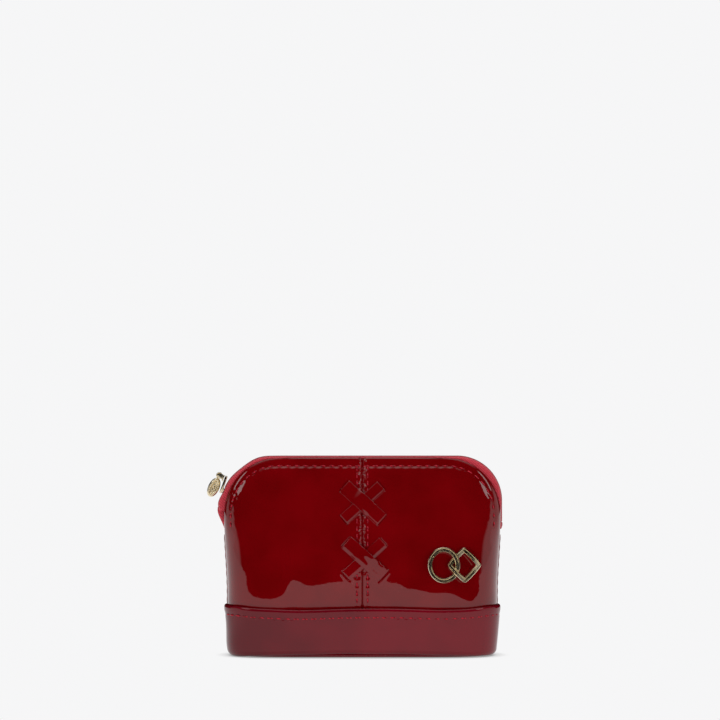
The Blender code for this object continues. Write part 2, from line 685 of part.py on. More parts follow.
def build():
    for existing in list(bpy.data.objects):
        bpy.data.objects.remove(existing, do_unlink=True)
    patent = material("patent_leather", (0.16, 0.003, 0.006), 0.06)
    matte = material("leather_back", (0.20, 0.03, 0.03), 0.6)
    cloth = material("lining_cloth", (0.10, 0.012, 0.018), 0.8)
    tape = material("zip_tape", (0.30, 0.01, 0.02), 0.75)
    teeth = material("zip_teeth", (0.22, 0.006, 0.012), 0.4)
    gold = material("pale_gold", (0.83, 0.68, 0.42), 0.16, 1.0)
    board = material("base_board", (0.35, 0.28, 0.2), 0.8)

    root = axis_empty("root_axis", Vector((0, 0, 0)))
    front = axis_empty("front_wall_axis", Vector((0, -SWING_AXIS_Y, SWING_AXIS_Z)))
    back = axis_empty("back_wall_axis", Vector((0, SWING_AXIS_Y, SWING_AXIS_Z)))
    slider = axis_empty("slider_axis", run_centre())
    pivot = slider_frame() @ Vector((PULL_PIVOT_T, 0.0, PULL_PIVOT_N))
    pull = axis_empty("pull_axis", pivot, slider)

    for word, side, body in (("front", FRONT, front), ("back", BACK, back)):
        wall_panel(word + "_panel_left", side, -1.0, patent, body)
        wall_panel(word + "_panel_right", side, 1.0, patent, body)
        wall_lining(word + "_lining", side, cloth, body)
        seam_tape("centre_seam_tape_" + word, side, matte, body)
        zip_tape(word + "_zip_tape", side, tape, body)
        start = SLIDER_ANGLE - 1.1 / ZIP_CORNER_R
        tube(word + "_zip_coil", zip_path(start, COIL_INSET, side * COIL_Y), COIL_RADIUS, 6, teeth, body)
        top_stop("top_stop_" + word, side, gold, body)
        band("band_" + word, side, patent, root)

    for word, centre in zip(("upper", "lower"), CROSS_CENTRES):
        strap(word + "_strap_under", centre, 1.0, STRAP_UNDER_HALF_WIDTH, 0.0, patent, front)
        strap(word + "_strap_over", centre, -1.0, STRAP_OVER_HALF_WIDTH, STRAP + GAP, patent, front)
    badge(gold, front)
    badge_clip_plate(gold, front)
    slip_pocket(cloth, back)

    flat_plate("base_panel", 53.2, 15.3, 0.0, LEATHER, patent, root)
    flat_plate("base_board", 54.0, 16.2, 2.1, 3.8, board, root)
    base_lining(cloth, root)
    side_piping("side_piping_left", -1.0, patent, root)
    side_piping("side_piping_right", 1.0, patent, root)
    zip_end("zip_end_left", -1.0, 51.2, 64.0, 3.3, tape, root)
    zip_end("zip_end_right", 1.0, 51.2, 54.2, 1.2, tape, root)
    bottom_stop(teeth, root)
    slider_body(gold, slider)
    slider_bridge(gold, slider)
    pull_tab(gold, pull)


build()
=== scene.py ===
"""The looks of a small zip-top patent leather pouch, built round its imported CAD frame.

The frame is in metres.  Shapes here are worked out in millimetres, from the CAD nodes' boxes and
from the wall's own formulas, and are turned into metres where a mesh is made.
"""
import json
from math import atan2, cos, pi, radians, sin, sqrt

import bmesh
import bpy
import numpy as np
from mathutils import Matrix, Vector


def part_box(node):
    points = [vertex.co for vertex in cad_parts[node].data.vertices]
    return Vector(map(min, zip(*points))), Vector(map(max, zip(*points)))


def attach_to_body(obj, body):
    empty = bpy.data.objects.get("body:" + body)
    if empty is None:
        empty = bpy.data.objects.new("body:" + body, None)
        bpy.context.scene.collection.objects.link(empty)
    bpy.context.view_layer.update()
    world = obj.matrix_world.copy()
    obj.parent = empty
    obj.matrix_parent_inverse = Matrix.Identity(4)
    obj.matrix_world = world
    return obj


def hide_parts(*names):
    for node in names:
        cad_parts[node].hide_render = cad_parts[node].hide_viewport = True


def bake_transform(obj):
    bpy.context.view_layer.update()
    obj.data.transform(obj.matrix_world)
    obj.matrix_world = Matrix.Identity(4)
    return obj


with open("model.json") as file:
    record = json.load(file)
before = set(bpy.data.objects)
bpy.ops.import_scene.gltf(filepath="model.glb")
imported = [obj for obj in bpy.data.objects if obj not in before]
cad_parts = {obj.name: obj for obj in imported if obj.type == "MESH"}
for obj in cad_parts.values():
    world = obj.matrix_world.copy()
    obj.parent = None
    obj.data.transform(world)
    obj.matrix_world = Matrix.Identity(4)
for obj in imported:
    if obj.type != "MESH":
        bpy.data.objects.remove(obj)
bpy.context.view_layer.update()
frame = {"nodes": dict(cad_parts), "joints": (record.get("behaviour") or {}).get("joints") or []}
MM = 0.001
FRONT = -1.0
BACK = 1.0
SIDES = (("front", FRONT), ("back", BACK))
WALLS = {side: word + "_wall" for word, side in SIDES}
HANDS = (("left", -1.0), ("right", 1.0))
UP = (0.0, 0.0, 1.0)


def box_mm(node):
    """A node's lowest and highest corners, in millimetres."""
    low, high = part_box(node)
    return low / MM, high / MM


def box_middle(node):
    """The x and z of the middle of a node's box."""
    low, high = box_mm(node)
    return (low.x + high.x) / 2.0, (low.z + high.z) / 2.0


# ---- measures taken from the frame, millimetres ----
PANEL_LOW, PANEL_HIGH = box_mm("front_panel_right")
BAND_LOW, BAND_HIGH = box_mm("band_front")
COIL_LOW, COIL_HIGH = box_mm("front_zip_coil")

BODY_HALF_WIDTH = PANEL_HIGH.x
FOOT_HALF_WIDTH = BODY_HALF_WIDTH - 1.4
WIDEN_FROM_Z = 26.0
WIDEN_TO_Z = 58.0
PLAN_POWER = 6.0                # flatness of the walls in plan
TOP_Z = PANEL_HIGH.z
WALL_FOOT_Z = PANEL_LOW.z
BAND_TOP_Z = BAND_HIGH.z
SHOULDER_START_Z = TOP_Z - 23.4
TOP_HALF_WIDTH = BODY_HALF_WIDTH - 22.4
BULGE_HALF_DEPTH = -PANEL_LOW.y
BULGE_Z = 28.0
TOP_HALF_DEPTH = 4.4
SEAM_HALF_GAP = 1.3
ZIP_HALF_GAP = 4.0
ZIP_GAP_START_Z = 46.0
ZIP_GAP_FULL_Z = 60.0

COIL_RADIUS = (COIL_HIGH.y - COIL_LOW.y) / 2.0
ZIP_TOP_Z = COIL_HIGH.z + 0.15
COIL_INSET = ZIP_TOP_Z - COIL_HIGH.z + COIL_RADIUS
ZIP_HALF_WIDTH = COIL_HIGH.x + 0.15
ZIP_CORNER_R = 19.3
ZIP_CORNER_X = ZIP_HALF_WIDTH - ZIP_CORNER_R
ZIP_CORNER_Z = ZIP_TOP_Z - ZIP_CORNER_R
ZIP_FOOT_Z = COIL_LOW.z
LEFT_TAPE_FOOT_Z = ZIP_FOOT_Z + 7.8

BADGE_X, BADGE_Z = box_middle("badge")
CROSS_CENTRES = (box_middle("upper_strap_over"), box_middle("lower_strap_over"))
CROSS_HALF_X = 9.3
CROSS_HALF_Z = 8.3

LEATHER = 1.2
FOLD = 1.7                      # leather folded double along an edge
CLOTH = 0.5
TAPE = 0.4
MIDDLE_LAYER = 1.55
LINING_LAYER = 2.4

STITCH_PITCH = 3.7
SEAM_PITCH = 3.4
STITCH_SHARE = 0.72             # of a pitch, thread that shows
THREAD_RADIUS = 0.26
TOP_STITCH_INSET = 3.0
BAND_STITCH_DROP = 3.0
SEAM_STITCH_X = 2.25
TOOTH_PITCH = 1.15


# ---- the wall's surface ----
def smooth(t):
    """0 below 0, 1 above 1, and a soft step between."""
    t = np.clip(t, 0.0, 1.0)
    return t * t * (3.0 - 2.0 * t)


def bell(distance, width):
    """A soft bump, 1 at distance 0."""
    return np.exp(-(np.asarray(distance) / width) ** 2)


def half_width(z):
    rise = np.clip((z - SHOULDER_START_Z) / (TOP_Z - SHOULDER_START_Z), 0.0, 1.0)
    straight = FOOT_HALF_WIDTH + (BODY_HALF_WIDTH - FOOT_HALF_WIDTH) * smooth(
        (z - WIDEN_FROM_Z) / (WIDEN_TO_Z - WIDEN_FROM_Z))
    shoulder = TOP_HALF_WIDTH + (BODY_HALF_WIDTH - TOP_HALF_WIDTH) * np.sqrt(1.0 - rise * rise)
    return np.where(z <= SHOULDER_START_Z, straight, shoulder)


def half_depth(z):
    low = BULGE_HALF_DEPTH - ((BULGE_Z - z) / 10.0) ** 2
    s = np.clip((z - BULGE_Z) / (TOP_Z - BULGE_Z), 0.0, 1.0)
    high = TOP_HALF_DEPTH + (BULGE_HALF_DEPTH - TOP_HALF_DEPTH) * np.cos(s * pi / 2.0)
    return np.where(z < BULGE_Z, low, high)


def edge_gap(z):
    t = (z - ZIP_GAP_START_Z) / (ZIP_GAP_FULL_Z - ZIP_GAP_START_Z)
    return SEAM_HALF_GAP + (ZIP_HALF_GAP - SEAM_HALF_GAP) * smooth(t)


def row_height(v):
    """Height of row v: below 1 the straight wall, from 1 to 2 the rounded shoulder."""
    v = np.asarray(v, float)
    straight = WALL_FOOT_Z + (SHOULDER_START_Z - WALL_FOOT_Z) * v
    round_part = SHOULDER_START_Z + (TOP_Z - SHOULDER_START_Z) * np.sin((v - 1.0) * pi / 2.0)
    return np.where(v <= 1.0, straight, round_part)


def row_at(z):
    z = np.asarray(z, float)
    straight = (z - WALL_FOOT_Z) / (SHOULDER_START_Z - WALL_FOOT_Z)
    rise = np.clip((z - SHOULDER_START_Z) / (TOP_Z - SHOULDER_START_Z), 0.0, 1.0)
    return np.where(z <= SHOULDER_START_Z, straight, 1.0 + np.arcsin(rise) * 2.0 / pi)


def wall_point(side, c, v):
    """Plain outer face of a wall, for arrays of c (-1 to 1 across) and v (rows)."""
    z = row_height(v)
    t = np.abs(c)
    u = 1.0 - (1.0 - t) ** 2
    bulge = np.sqrt(np.maximum(1.0 - u ** PLAN_POWER, 0.0)) * np.where(t <= 1.0, 1.0, -1.0)
    gap = edge_gap(z)
    x = half_width(z) * u * np.where(np.asarray(c) >= 0.0, 1.0, -1.0)
    y = side * (gap + (half_depth(z) - gap) * bulge)
    return np.stack(np.broadcast_arrays(x, y, z), axis=-1)


def wall_normal(side, c, v):
    step = 0.004
    v = np.clip(v, -0.5, 1.97)
    across = wall_point(side, c + step, v) - wall_point(side, c - step, v)
    up = wall_point(side, c, v + step) - wall_point(side, c, v - step)
    normal = np.cross(across, up) * -side
    return normal / np.linalg.norm(normal, axis=-1, keepdims=True)


def wall_grid(side, c, v):
    """Points and normals of a wall's plain face for a row of c and a column of v."""
    c = c[None, :]
    v = v[:, None]
    return wall_point(side, c, v), wall_normal(side, c + 0.0 * v, v + 0.0 * c)


def across_at(x, z):
    u = np.clip(np.abs(x) / half_width(z), 0.0, 1.0)
    return (1.0 - np.sqrt(1.0 - u)) * np.where(np.asarray(x) >= 0.0, 1.0, -1.0)


def on_wall(side, x, z, lift=0.0):
    """The point of the wall over x and z, lifted off its face."""
    x, z = np.broadcast_arrays(np.asarray(x, float), np.asarray(z, float))
    c = across_at(x, z)
    v = row_at(z)
    return wall_point(side, c, v) + wall_normal(side, c, v) * np.asarray(lift)[..., None]


def edge_distance(x, z):
    """Distance in from the leather's top and shoulder edge, seen from the front."""
    run = BODY_HALF_WIDTH - TOP_HALF_WIDTH
    rise = TOP_Z - SHOULDER_START_Z
    a = np.maximum(np.abs(x) - TOP_HALF_WIDTH, 0.0) / run
    b = np.maximum(z - SHOULDER_START_Z, 0.0) / rise
    reach = np.sqrt(a * a + b * b)
    corner = (1.0 - reach) * (run * a + rise * b) / np.maximum(a + b, 1e-6)
    top = TOP_Z - z
    side = half_width(z) - np.abs(x)
    in_corner = (np.abs(x) > TOP_HALF_WIDTH) & (z > SHOULDER_START_Z)
    return np.where(in_corner, corner, np.where(z > SHOULDER_START_Z, top, np.minimum(top, side)))


# ---- relief: seams, stitch dimples and soft waves ----
def fullest_line(x):
    """Height of the wall's fullest line, which wanders up and down across the wall."""
    line = BULGE_Z + 2.4 + 5.5 * bell(x - 1.0, 8.0) + 1.8 * bell(x + 28.5, 3.2) + 0.5 * np.sin(x / 2.7)
    line = line - 4.5 * smooth((-x - 29.5) / 4.5) - 1.2 * bell(x + 44.0, 8.0)
    return line - 2.8 * smooth((x - 14.5) / 5.0) - 3.6 * bell(x - 46.0, 8.0)


def soft_waves(side, x, z):
    """Slow dents of hand-made leather; the largest lets the fullest line wander."""
    x = -side * x
    line = fullest_line(x)
    step = 0.25
    slope = (half_depth(line + step) - half_depth(line - step)) / (2.0 * step)
    wave = (-0.023 - slope) * (z - line) * bell(z - line, 14.0)
    wave = wave * smooth((55.0 - np.abs(x)) / 11.0)
    wave += 0.05 * np.sin(x / 5.9 + 1.3) * np.sin(z / 13.0 + 0.7)
    return wave * smooth((z - 18.0) / 3.0) + 0.06 * np.sin(x / 9.7 - z / 17.0 + 2.1 * side)


def stitch_dimples(distance, along, depth, pitch):
    """A shallow valley along a row of stitches, deeper at the needle holes."""
    holes = 0.5 + 0.5 * np.cos(2.0 * pi * along / pitch)
    return -depth * bell(distance, 0.8) * (0.45 + 0.55 * holes)


def seam_relief(x, z):
    """Panels turned in at the centre seam and gathered between its two rows of stitches."""
    d = np.abs(x)
    relief = -0.8 * bell(d, 0.45) + stitch_dimples(d - SEAM_STITCH_X, z, 0.30, SEAM_PITCH)
    gather = np.sin(2.0 * pi * z / SEAM_PITCH + 1.2 * np.sign(x)) + 0.5 * np.sin(z * 2.9 + x)
    return relief + 0.34 * gather * bell(d - 0.85, 0.45) * smooth((z - 30.0) / 8.0)


def edge_relief(x, z):
    """The row of stitches below the folded top edge, which puckers the leather beside it."""
    d = edge_distance(x, z)
    above_foot = smooth((z - 50.0) / 8.0)
    along = x + z * smooth((np.abs(x) - 40.0) / 10.0)
    relief = stitch_dimples(d - TOP_STITCH_INSET, along, 0.26, STITCH_PITCH)
    pucker = 0.035 * np.sin(2.0 * pi * along / STITCH_PITCH) + 0.04 * np.sin(along * 0.9)
    return (relief + pucker * bell(d - 4.0, 1.4) + 0.06 * bell(d - 1.4, 0.8)) * above_foot


STRAP_LAP = 0.86                # how much of the cross's half size a strap shows


def strap_frame(centre, slope):
    """Middle, direction along and direction across a slanting strap, seen from the front."""
    along = np.array((CROSS_HALF_X, slope * CROSS_HALF_Z)) * STRAP_LAP
    half = float(np.linalg.norm(along))
    along = along / half
    return np.array(centre), along, np.array((-along[1], along[0])), half


def cross_relief(x, z):
    """Slits that the straps go into, with a raised lip, and the leather drawn in beside them."""
    relief = 0.0
    for centre in CROSS_CENTRES:
        for slope, width in ((1.0, 2.3), (-1.0, 2.9)):
            middle, along, across, half = strap_frame(centre, slope)
            a = (x - middle[0]) * along[0] + (z - middle[1]) * along[1]
            b = (x - middle[0]) * across[0] + (z - middle[1]) * across[1]
            inside = smooth((width + 0.5 - np.abs(b)) / 0.8)
            relief = relief + inside * (0.16 * bell(np.abs(a) - half - 0.6, 0.5)
                                        - 0.45 * bell(np.abs(a) - half + 0.1, 0.35))
    return relief


def foot_relief(z):
    """The wall tucks in where the band is sewn over it."""
    return -0.35 * bell(z - BAND_TOP_Z, 1.4)


def panel_relief(side, x, z):
    relief = soft_waves(side, x, z) * smooth(edge_distance(x, z) / 5.0)
    relief = relief + seam_relief(x, z) + edge_relief(x, z)
    if side < 0:
        relief = relief + cross_relief(x, z)
    return relief + foot_relief(z)


# ---- meshes ----
def add_object(name, verts, faces, look, smooth_angle=50.0):
    """A mesh object from points in millimetres."""
    mesh = bpy.data.meshes.new(name)
    mesh.from_pydata((np.asarray(verts, float) * MM).tolist(), [], [tuple(f) for f in faces])
    bm = bmesh.new()
    bm.from_mesh(mesh)
    bmesh.ops.recalc_face_normals(bm, faces=bm.faces)
    if bm.calc_volume(signed=True) < 0.0:
        bmesh.ops.reverse_faces(bm, faces=bm.faces)
    bm.to_mesh(mesh)
    bm.free()
    mesh.shade_smooth()
    mesh.set_sharp_from_angle(angle=radians(smooth_angle))
    mesh.materials.append(look)
    made = bpy.data.objects.new(name, mesh)
    bpy.context.scene.collection.objects.link(made)
    return made


def grid_faces(rows, columns, start=0, wrap=False):
    faces = []
    last = columns if wrap else columns - 1
    for i in range(rows - 1):
        for j in range(last):
            k = (j + 1) % columns
            faces.append((start + i * columns + j, start + i * columns + k,
                          start + (i + 1) * columns + k, start + (i + 1) * columns + j))
    return faces


def last_to_first(rows, columns):
    """Faces that join a wrapped grid's last row to its first."""
    last = (rows - 1) * columns
    return [(last + k, last + (k + 1) % columns, (k + 1) % columns, k) for k in range(columns)]


def end_caps(rows, columns):
    """Faces that close both ends of a wrapped grid."""
    return [tuple(range(columns)), tuple((rows - 1) * columns + k for k in range(columns))]


def grid_normals(points, side=0.0):
    """Normals of a grid of points, turned towards a side (front or back) where one is given."""
    normal = np.cross(np.gradient(points, axis=0), np.gradient(points, axis=1))
    normal /= np.maximum(np.linalg.norm(normal, axis=-1, keepdims=True), 1e-9)
    return -normal if np.mean(normal[..., 1]) * side < 0.0 else normal


def lengths_along(points):
    """Distance along a line from its first point to each point."""
    return np.concatenate(((0.0,), np.cumsum(np.linalg.norm(np.diff(points, axis=0), axis=1))))


def between(wanted, known, points):
    """Points at the wanted distances, from the points at the known ones."""
    return np.stack([np.interp(wanted, known, points[:, axis]) for axis in range(3)], axis=-1)


def sheet(name, outer, normals, thickness, look, rim=3):
    """A closed sheet with rounded edges; outer is its face grid and thickness may be a grid."""
    rows, columns = outer.shape[:2]
    thick = np.broadcast_to(np.asarray(thickness, float), (rows, columns))[..., None]
    inner = outer - normals * thick
    border = [(0, j) for j in range(columns)] + [(i, columns - 1) for i in range(1, rows)]
    border += [(rows - 1, j) for j in range(columns - 2, -1, -1)] + [(i, 0) for i in range(rows - 2, 0, -1)]
    i, j = np.array(border).T
    edge = outer[i, j]
    n = normals[i, j]
    tangent = np.roll(edge, -1, axis=0) - np.roll(edge, 1, axis=0)
    out = np.cross(tangent, n)
    out /= np.maximum(np.linalg.norm(out, axis=-1, keepdims=True), 1e-9)
    middle = outer[rows // 2, columns // 2]
    if np.mean(np.sum(out * (edge - middle), axis=-1)) < 0.0:
        out = -out
    half = thick[i, j] / 2.0
    verts = [outer.reshape(-1, 3), inner.reshape(-1, 3)]
    count = rows * columns
    faces = grid_faces(rows, columns) + grid_faces(rows, columns, count)
    loops = [i * columns + j]
    for k in range(1, rim + 1):
        angle = pi * k / (rim + 1)
        verts.append(edge - n * half + (n * cos(angle) + out * sin(angle)) * half)
        loops.append(2 * count + (k - 1) * len(border) + np.arange(len(border)))
    loops.append(count + i * columns + j)
    for first, second in zip(loops, loops[1:]):
        for a in range(len(border)):
            b = (a + 1) % len(border)
            faces.append((first[a], first[b], second[b], second[a]))
    return add_object(name, np.concatenate(verts), faces, look)


def sweep(points, profile, closed=False, up=(0.0, 1.0, 0.0), scales=None):
    """Verts and faces of a profile carried along a path; profile x is sideways and y is along up."""
    points = np.asarray(points, float)
    up = np.asarray(up, float)
    if closed:
        tangent = np.roll(points, -1, axis=0) - np.roll(points, 1, axis=0)
    else:
        tangent = np.gradient(points, axis=0)
    tangent /= np.linalg.norm(tangent, axis=-1, keepdims=True)
    sideways = np.cross(tangent, up)
    sideways /= np.linalg.norm(sideways, axis=-1, keepdims=True)
    raised = np.cross(sideways, tangent)
    rim = np.asarray(profile, float)[None, :, :, None]
    rim = rim * (np.ones(len(points)) if scales is None else np.asarray(scales))[:, None, None, None]
    verts = points[:, None] + sideways[:, None] * rim[:, :, 0] + raised[:, None] * rim[:, :, 1]
    count = len(profile)
    rows = len(points)
    ends = last_to_first(rows, count) if closed else end_caps(rows, count)
    return verts.reshape(-1, 3), grid_faces(rows, count, wrap=True) + ends


def merge(parts):
    """Several (verts, faces) pairs as one."""
    verts = []
    faces = []
    for part_verts, part_faces in parts:
        start = len(verts)
        verts.extend(part_verts)
        faces.extend(tuple(start + k for k in f) for f in part_faces)
    return verts, faces


def oval(half_x, half_y, count, power=2.0):
    """A superellipse profile."""
    a = np.arange(count) * 2.0 * pi / count
    return [(half_x * abs(cos(t)) ** (2.0 / power) * np.sign(cos(t)),
             half_y * abs(sin(t)) ** (2.0 / power) * np.sign(sin(t))) for t in a]


def stand_for(nodes):
    """Take the place of CAD nodes by hiding them."""
    if nodes:
        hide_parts(*nodes)


def attach(made, body, *nodes):
    """Ride on a body."""
    stand_for(nodes)
    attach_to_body(made, body)


def attach_soft(made, side, hand, *nodes):
    """Take the place of CAD nodes by hiding them, and bake the piece's place into its mesh."""
    stand_for(nodes)
    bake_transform(made)


# ---- materials ----
def maths(tree, operation, first, second):
    """A maths node's result; each value is a number or another node's output."""
    node = tree.nodes.new("ShaderNodeMath")
    node.operation = operation
    for socket, value in zip(node.inputs, (first, second)):
        if isinstance(value, float):
            socket.default_value = value
        else:
            tree.links.new(value, socket)
    return node.outputs["Value"]


def map_range(tree, value, source, target, kind="LINEAR"):
    """A value carried from one range to another."""
    node = tree.nodes.new("ShaderNodeMapRange")
    node.interpolation_type = kind
    for name, number in zip(("From Min", "From Max", "To Min", "To Max"), (*source, *target)):
        node.inputs[name].default_value = number
    tree.links.new(value, node.inputs["Value"])
    return node.outputs["Result"]


def ramp(tree, factor, *stops):
    """A colour that runs through stops of (place, colour)."""
    node = tree.nodes.new("ShaderNodeValToRGB")
    while len(node.color_ramp.elements) < len(stops):
        node.color_ramp.elements.new(0.5)
    for element, (place, colour) in zip(node.color_ramp.elements, stops):
        element.position = place
        element.color = (*colour, 1.0)
    tree.links.new(factor, node.inputs["Fac"])
    return node.outputs["Color"]


class Look:
    """A node material with short calls for the textures used here."""

    def __init__(self, name, roughness, metallic=0.0, **inputs):
        self.material = bpy.data.materials.new(name)
        self.material.use_nodes = True
        self.tree = self.material.node_tree
        self.shader = self.tree.nodes["Principled BSDF"]
        for key, value in {"Roughness": roughness, "Metallic": metallic, **inputs}.items():
            self.shader.inputs[key.replace("_", " ")].default_value = value
        self.coordinates = self.tree.nodes.new("ShaderNodeTexCoord").outputs["Object"]

    def node(self, kind, vector, **inputs):
        """A texture node with its numbers and its coordinates set."""
        made = self.tree.nodes.new(kind)
        for name, value in inputs.items():
            made.inputs[name].default_value = value
        self.tree.links.new(vector, made.inputs["Vector"])
        return made

    def noise(self, scale, detail=3.0, stretch=None):
        vector = self.coordinates
        if stretch:
            vector = self.node("ShaderNodeMapping", vector, Scale=stretch).outputs["Vector"]
        return self.node("ShaderNodeTexNoise", vector, Scale=scale, Detail=detail).outputs["Fac"]

    def wave(self, scale, direction, distortion):
        made = self.node("ShaderNodeTexWave", self.coordinates, Scale=scale, Distortion=distortion)
        made.bands_direction = direction
        return made.outputs["Fac"]

    def maths(self, operation, first, second):
        return maths(self.tree, operation, first, second)

    def mixed(self, first, second, share):
        """A share of the first and the rest of the second."""
        rest = self.maths("MULTIPLY", second, 1.0 - share)
        return self.maths("ADD", self.maths("MULTIPLY", first, share), rest)

    def colour(self, factor, *stops):
        """The base colour from a ramp of (place, colour) stops."""
        self.tree.links.new(ramp(self.tree, factor, *stops), self.shader.inputs["Base Color"])

    def rough(self, factor, low, high):
        result = map_range(self.tree, factor, (0.0, 1.0), (low, high))
        self.tree.links.new(result, self.shader.inputs["Roughness"])

    def bump(self, height, strength, distance_mm):
        node = self.tree.nodes.new("ShaderNodeBump")
        node.inputs["Strength"].default_value = strength
        node.inputs["Distance"].default_value = distance_mm * MM
        self.tree.links.new(height, node.inputs["Height"])
        for name in ("Normal", "Coat Normal"):
            self.tree.links.new(node.outputs["Normal"], self.shader.inputs[name])


def shade(colour, share, lift=0.0):
    """A colour made darker, or lighter with a share above 1."""
    return tuple(min(share * c + lift, 1.0) for c in colour)


def patent_leather(name, colour_low, colour_high, gloss, cloud_scale):
    """Dyed leather under a clear gloss coat, with a faint roll and orange peel."""
    look = Look(name, 0.35, Coat_Weight=gloss, Coat_Roughness=0.02, Coat_IOR=1.5, Specular_IOR_Level=0.0)
    look.colour(look.noise(cloud_scale), (0.35, colour_low), (0.65, colour_high))
    look.rough(look.noise(400.0), 0.28, 0.42)
    peel = look.maths("ADD", look.noise(260.0, 2.0), look.maths("MULTIPLY", look.noise(900.0, 2.0), 0.15))
    look.bump(peel, 0.10, 0.12)
    return look.material


def grained(name, colour, roughness, noise, dark, stops, bump, rough=None, **inputs):
    """A surface whose colour, bump and gloss follow one fine noise."""
    look = Look(name, roughness, **inputs)
    grain = look.noise(*noise)
    look.colour(grain, (stops[0], shade(colour, dark)), (stops[1], colour))
    if rough:
        look.rough(grain, *rough)
    look.bump(grain, *bump)
    return look.material


def woven(name, colour, threads_per_mm, sheen):
    """A plain weave: warp and weft waves that cross."""
    look = Look(name, 0.8, Sheen_Weight=sheen)
    scale = threads_per_mm * 1000.0 / 20.0 * pi
    weave = look.maths("MULTIPLY", look.wave(scale, "X", 0.6), look.wave(scale, "Z", 0.6))
    cloudy = look.mixed(weave, look.noise(160.0, 4.0), 0.6)
    look.colour(cloudy, (0.1, shade(colour, 0.45)), (0.6, colour), (0.95, shade(colour, 1.35, 0.01)))
    look.bump(weave, 0.6, 0.12)
    return look.material


def twill_tape(name, colour):
    """Zip tape: fine slanting ribs."""
    look = Look(name, 0.7, Sheen_Weight=0.15)
    ribs = look.mixed(look.wave(520.0, "DIAGONAL", 0.8), look.noise(2400.0, 4.0), 0.7)
    look.colour(ribs, (0.15, shade(colour, 0.7)), (0.55, colour), (0.9, shade(colour, 1.15, 0.005)))
    look.bump(ribs, 0.5, 0.08)
    return look.material


def thread(name, colour):
    """Waxed sewing thread: a tight twist."""
    look = Look(name, 0.5, Specular_IOR_Level=0.2)
    twist = look.wave(330.0, "DIAGONAL", 1.0)
    look.colour(twist, (0.1, shade(colour, 0.4)), (0.8, colour))
    look.bump(twist, 0.6, 0.08)
    return look.material


def plated_gold(name, colour, roughness):
    """Pale gold plate with faint polishing marks."""
    look = Look(name, roughness, 1.0)
    marks = look.noise(600.0, 4.0, (1.0, 1.0, 0.25))
    look.colour(marks, (0.25, shade(colour, 0.92)), (0.75, colour))
    look.rough(marks, roughness * 0.7, roughness * 1.5)
    look.bump(look.noise(300.0, 2.0), 0.05, 0.05)
    return look.material


PATENT = patent_leather("patent_leather", (0.106, 0.0003, 0.0010), (0.132, 0.0004, 0.0016), 1.0, 60.0)
BAND_PATENT = patent_leather("patent_leather_band", (0.082, 0.0008, 0.0040), (0.128, 0.0014, 0.0065), 0.7,
                             28.0)
SUEDE = grained("leather_back", (0.20, 0.03, 0.03), 0.85, (1800.0, 5.0), 0.6, (0.25, 0.8), (0.5, 0.15),
                Sheen_Weight=0.3)
LINING = woven("lining_cloth", (0.115, 0.010, 0.017), 3.0, 0.2)
ZIP_TAPE = twill_tape("zip_tape", (0.42, 0.020, 0.036))
TEETH = grained("zip_teeth", (0.26, 0.006, 0.014), 0.35, (700.0,), 0.7, (0.3, 0.7), (0.2, 0.05), (0.28, 0.45))
THREAD = thread("sewing_thread", (0.34, 0.008, 0.020))
GOLD = plated_gold("pale_gold", (0.93, 0.80, 0.56), 0.17)
BOARD = grained("stiff_board", (0.35, 0.28, 0.2), 0.8, (900.0, 6.0, (0.3, 1.0, 1.0)), 0.75, (0.3, 0.7),
                (0.3, 0.1))


# ---- leather ----
PANEL_ROWS = np.concatenate((np.linspace(0.0, 1.0, 84, endpoint=False), np.linspace(1.0, 2.0, 60)))


def panel_columns():
    """Fractions of the half width: dense by the seam and its crosses, then wider, then dense."""
    near = np.linspace(0.25, 13.0, 38, endpoint=False) / BODY_HALF_WIDTH
    wide = np.linspace(13.0, 50.0, 46, endpoint=False) / BODY_HALF_WIDTH
    c = np.linspace(1.0 - sqrt(1.0 - 50.0 / BODY_HALF_WIDTH), 1.0, 18)
    return np.concatenate((near, wide, 1.0 - (1.0 - c) ** 2))


def wall_panel(name, side, hand):
    c = hand * (1.0 - np.sqrt(np.maximum(1.0 - panel_columns(), 0.0)))
    plain, normal = wall_grid(side, c, PANEL_ROWS)
    lift = panel_relief(side, plain[..., 0], plain[..., 2])
    outer = plain + normal * lift[..., None]
    fold = bell(edge_distance(plain[..., 0], plain[..., 2]), 2.5)
    made = sheet(name, outer, normal, LEATHER + (FOLD - LEATHER) * fold, PATENT)
    attach_soft(made, side, hand, name)


BAND_LEAN = 1.7                 # how far the band leans in before it rolls under
BAND_ROLL = 2.8
BAND_ROLL_IN = 2.5
BAND_ARCH = 1.2                 # how far its lower edge lifts in the middle
PLAN_FULLNESS = 0.85


def band_plan(side, u, half_x, half_y):
    """The foot's plan outline at fractions u (-1 to 1) of its half width."""
    angle = np.arccos(np.clip(np.abs(u), 0.0, 1.0) ** (PLAN_POWER / 2.0))
    y = np.maximum(half_y * np.sin(angle) ** PLAN_FULLNESS, 0.12)
    return half_x * u, side * y


def band_columns():
    power = PLAN_POWER / 2.0
    flat = np.linspace(-0.84, 0.84, 140)
    end = np.cos(np.linspace(np.arccos(0.84 ** power), 0.01, 26)) ** (1.0 / power)
    return np.concatenate((-end[:0:-1], flat, end[1:]))


def band_profile():
    """Heights and insets from the top edge down, round the roll and in under the foot."""
    heights = np.linspace(BAND_TOP_Z, BAND_ROLL, 30)
    insets = BAND_LEAN * ((BAND_TOP_Z - heights) / (BAND_TOP_Z - BAND_ROLL)) ** 1.1
    turn = np.linspace(0.0, pi / 2.0, 10)[1:]
    heights = np.concatenate((heights, BAND_LOW.z + (BAND_ROLL - BAND_LOW.z) * (1.0 - np.sin(turn))))
    return heights, np.concatenate((insets, BAND_LEAN + BAND_ROLL_IN * (1.0 - np.cos(turn))))


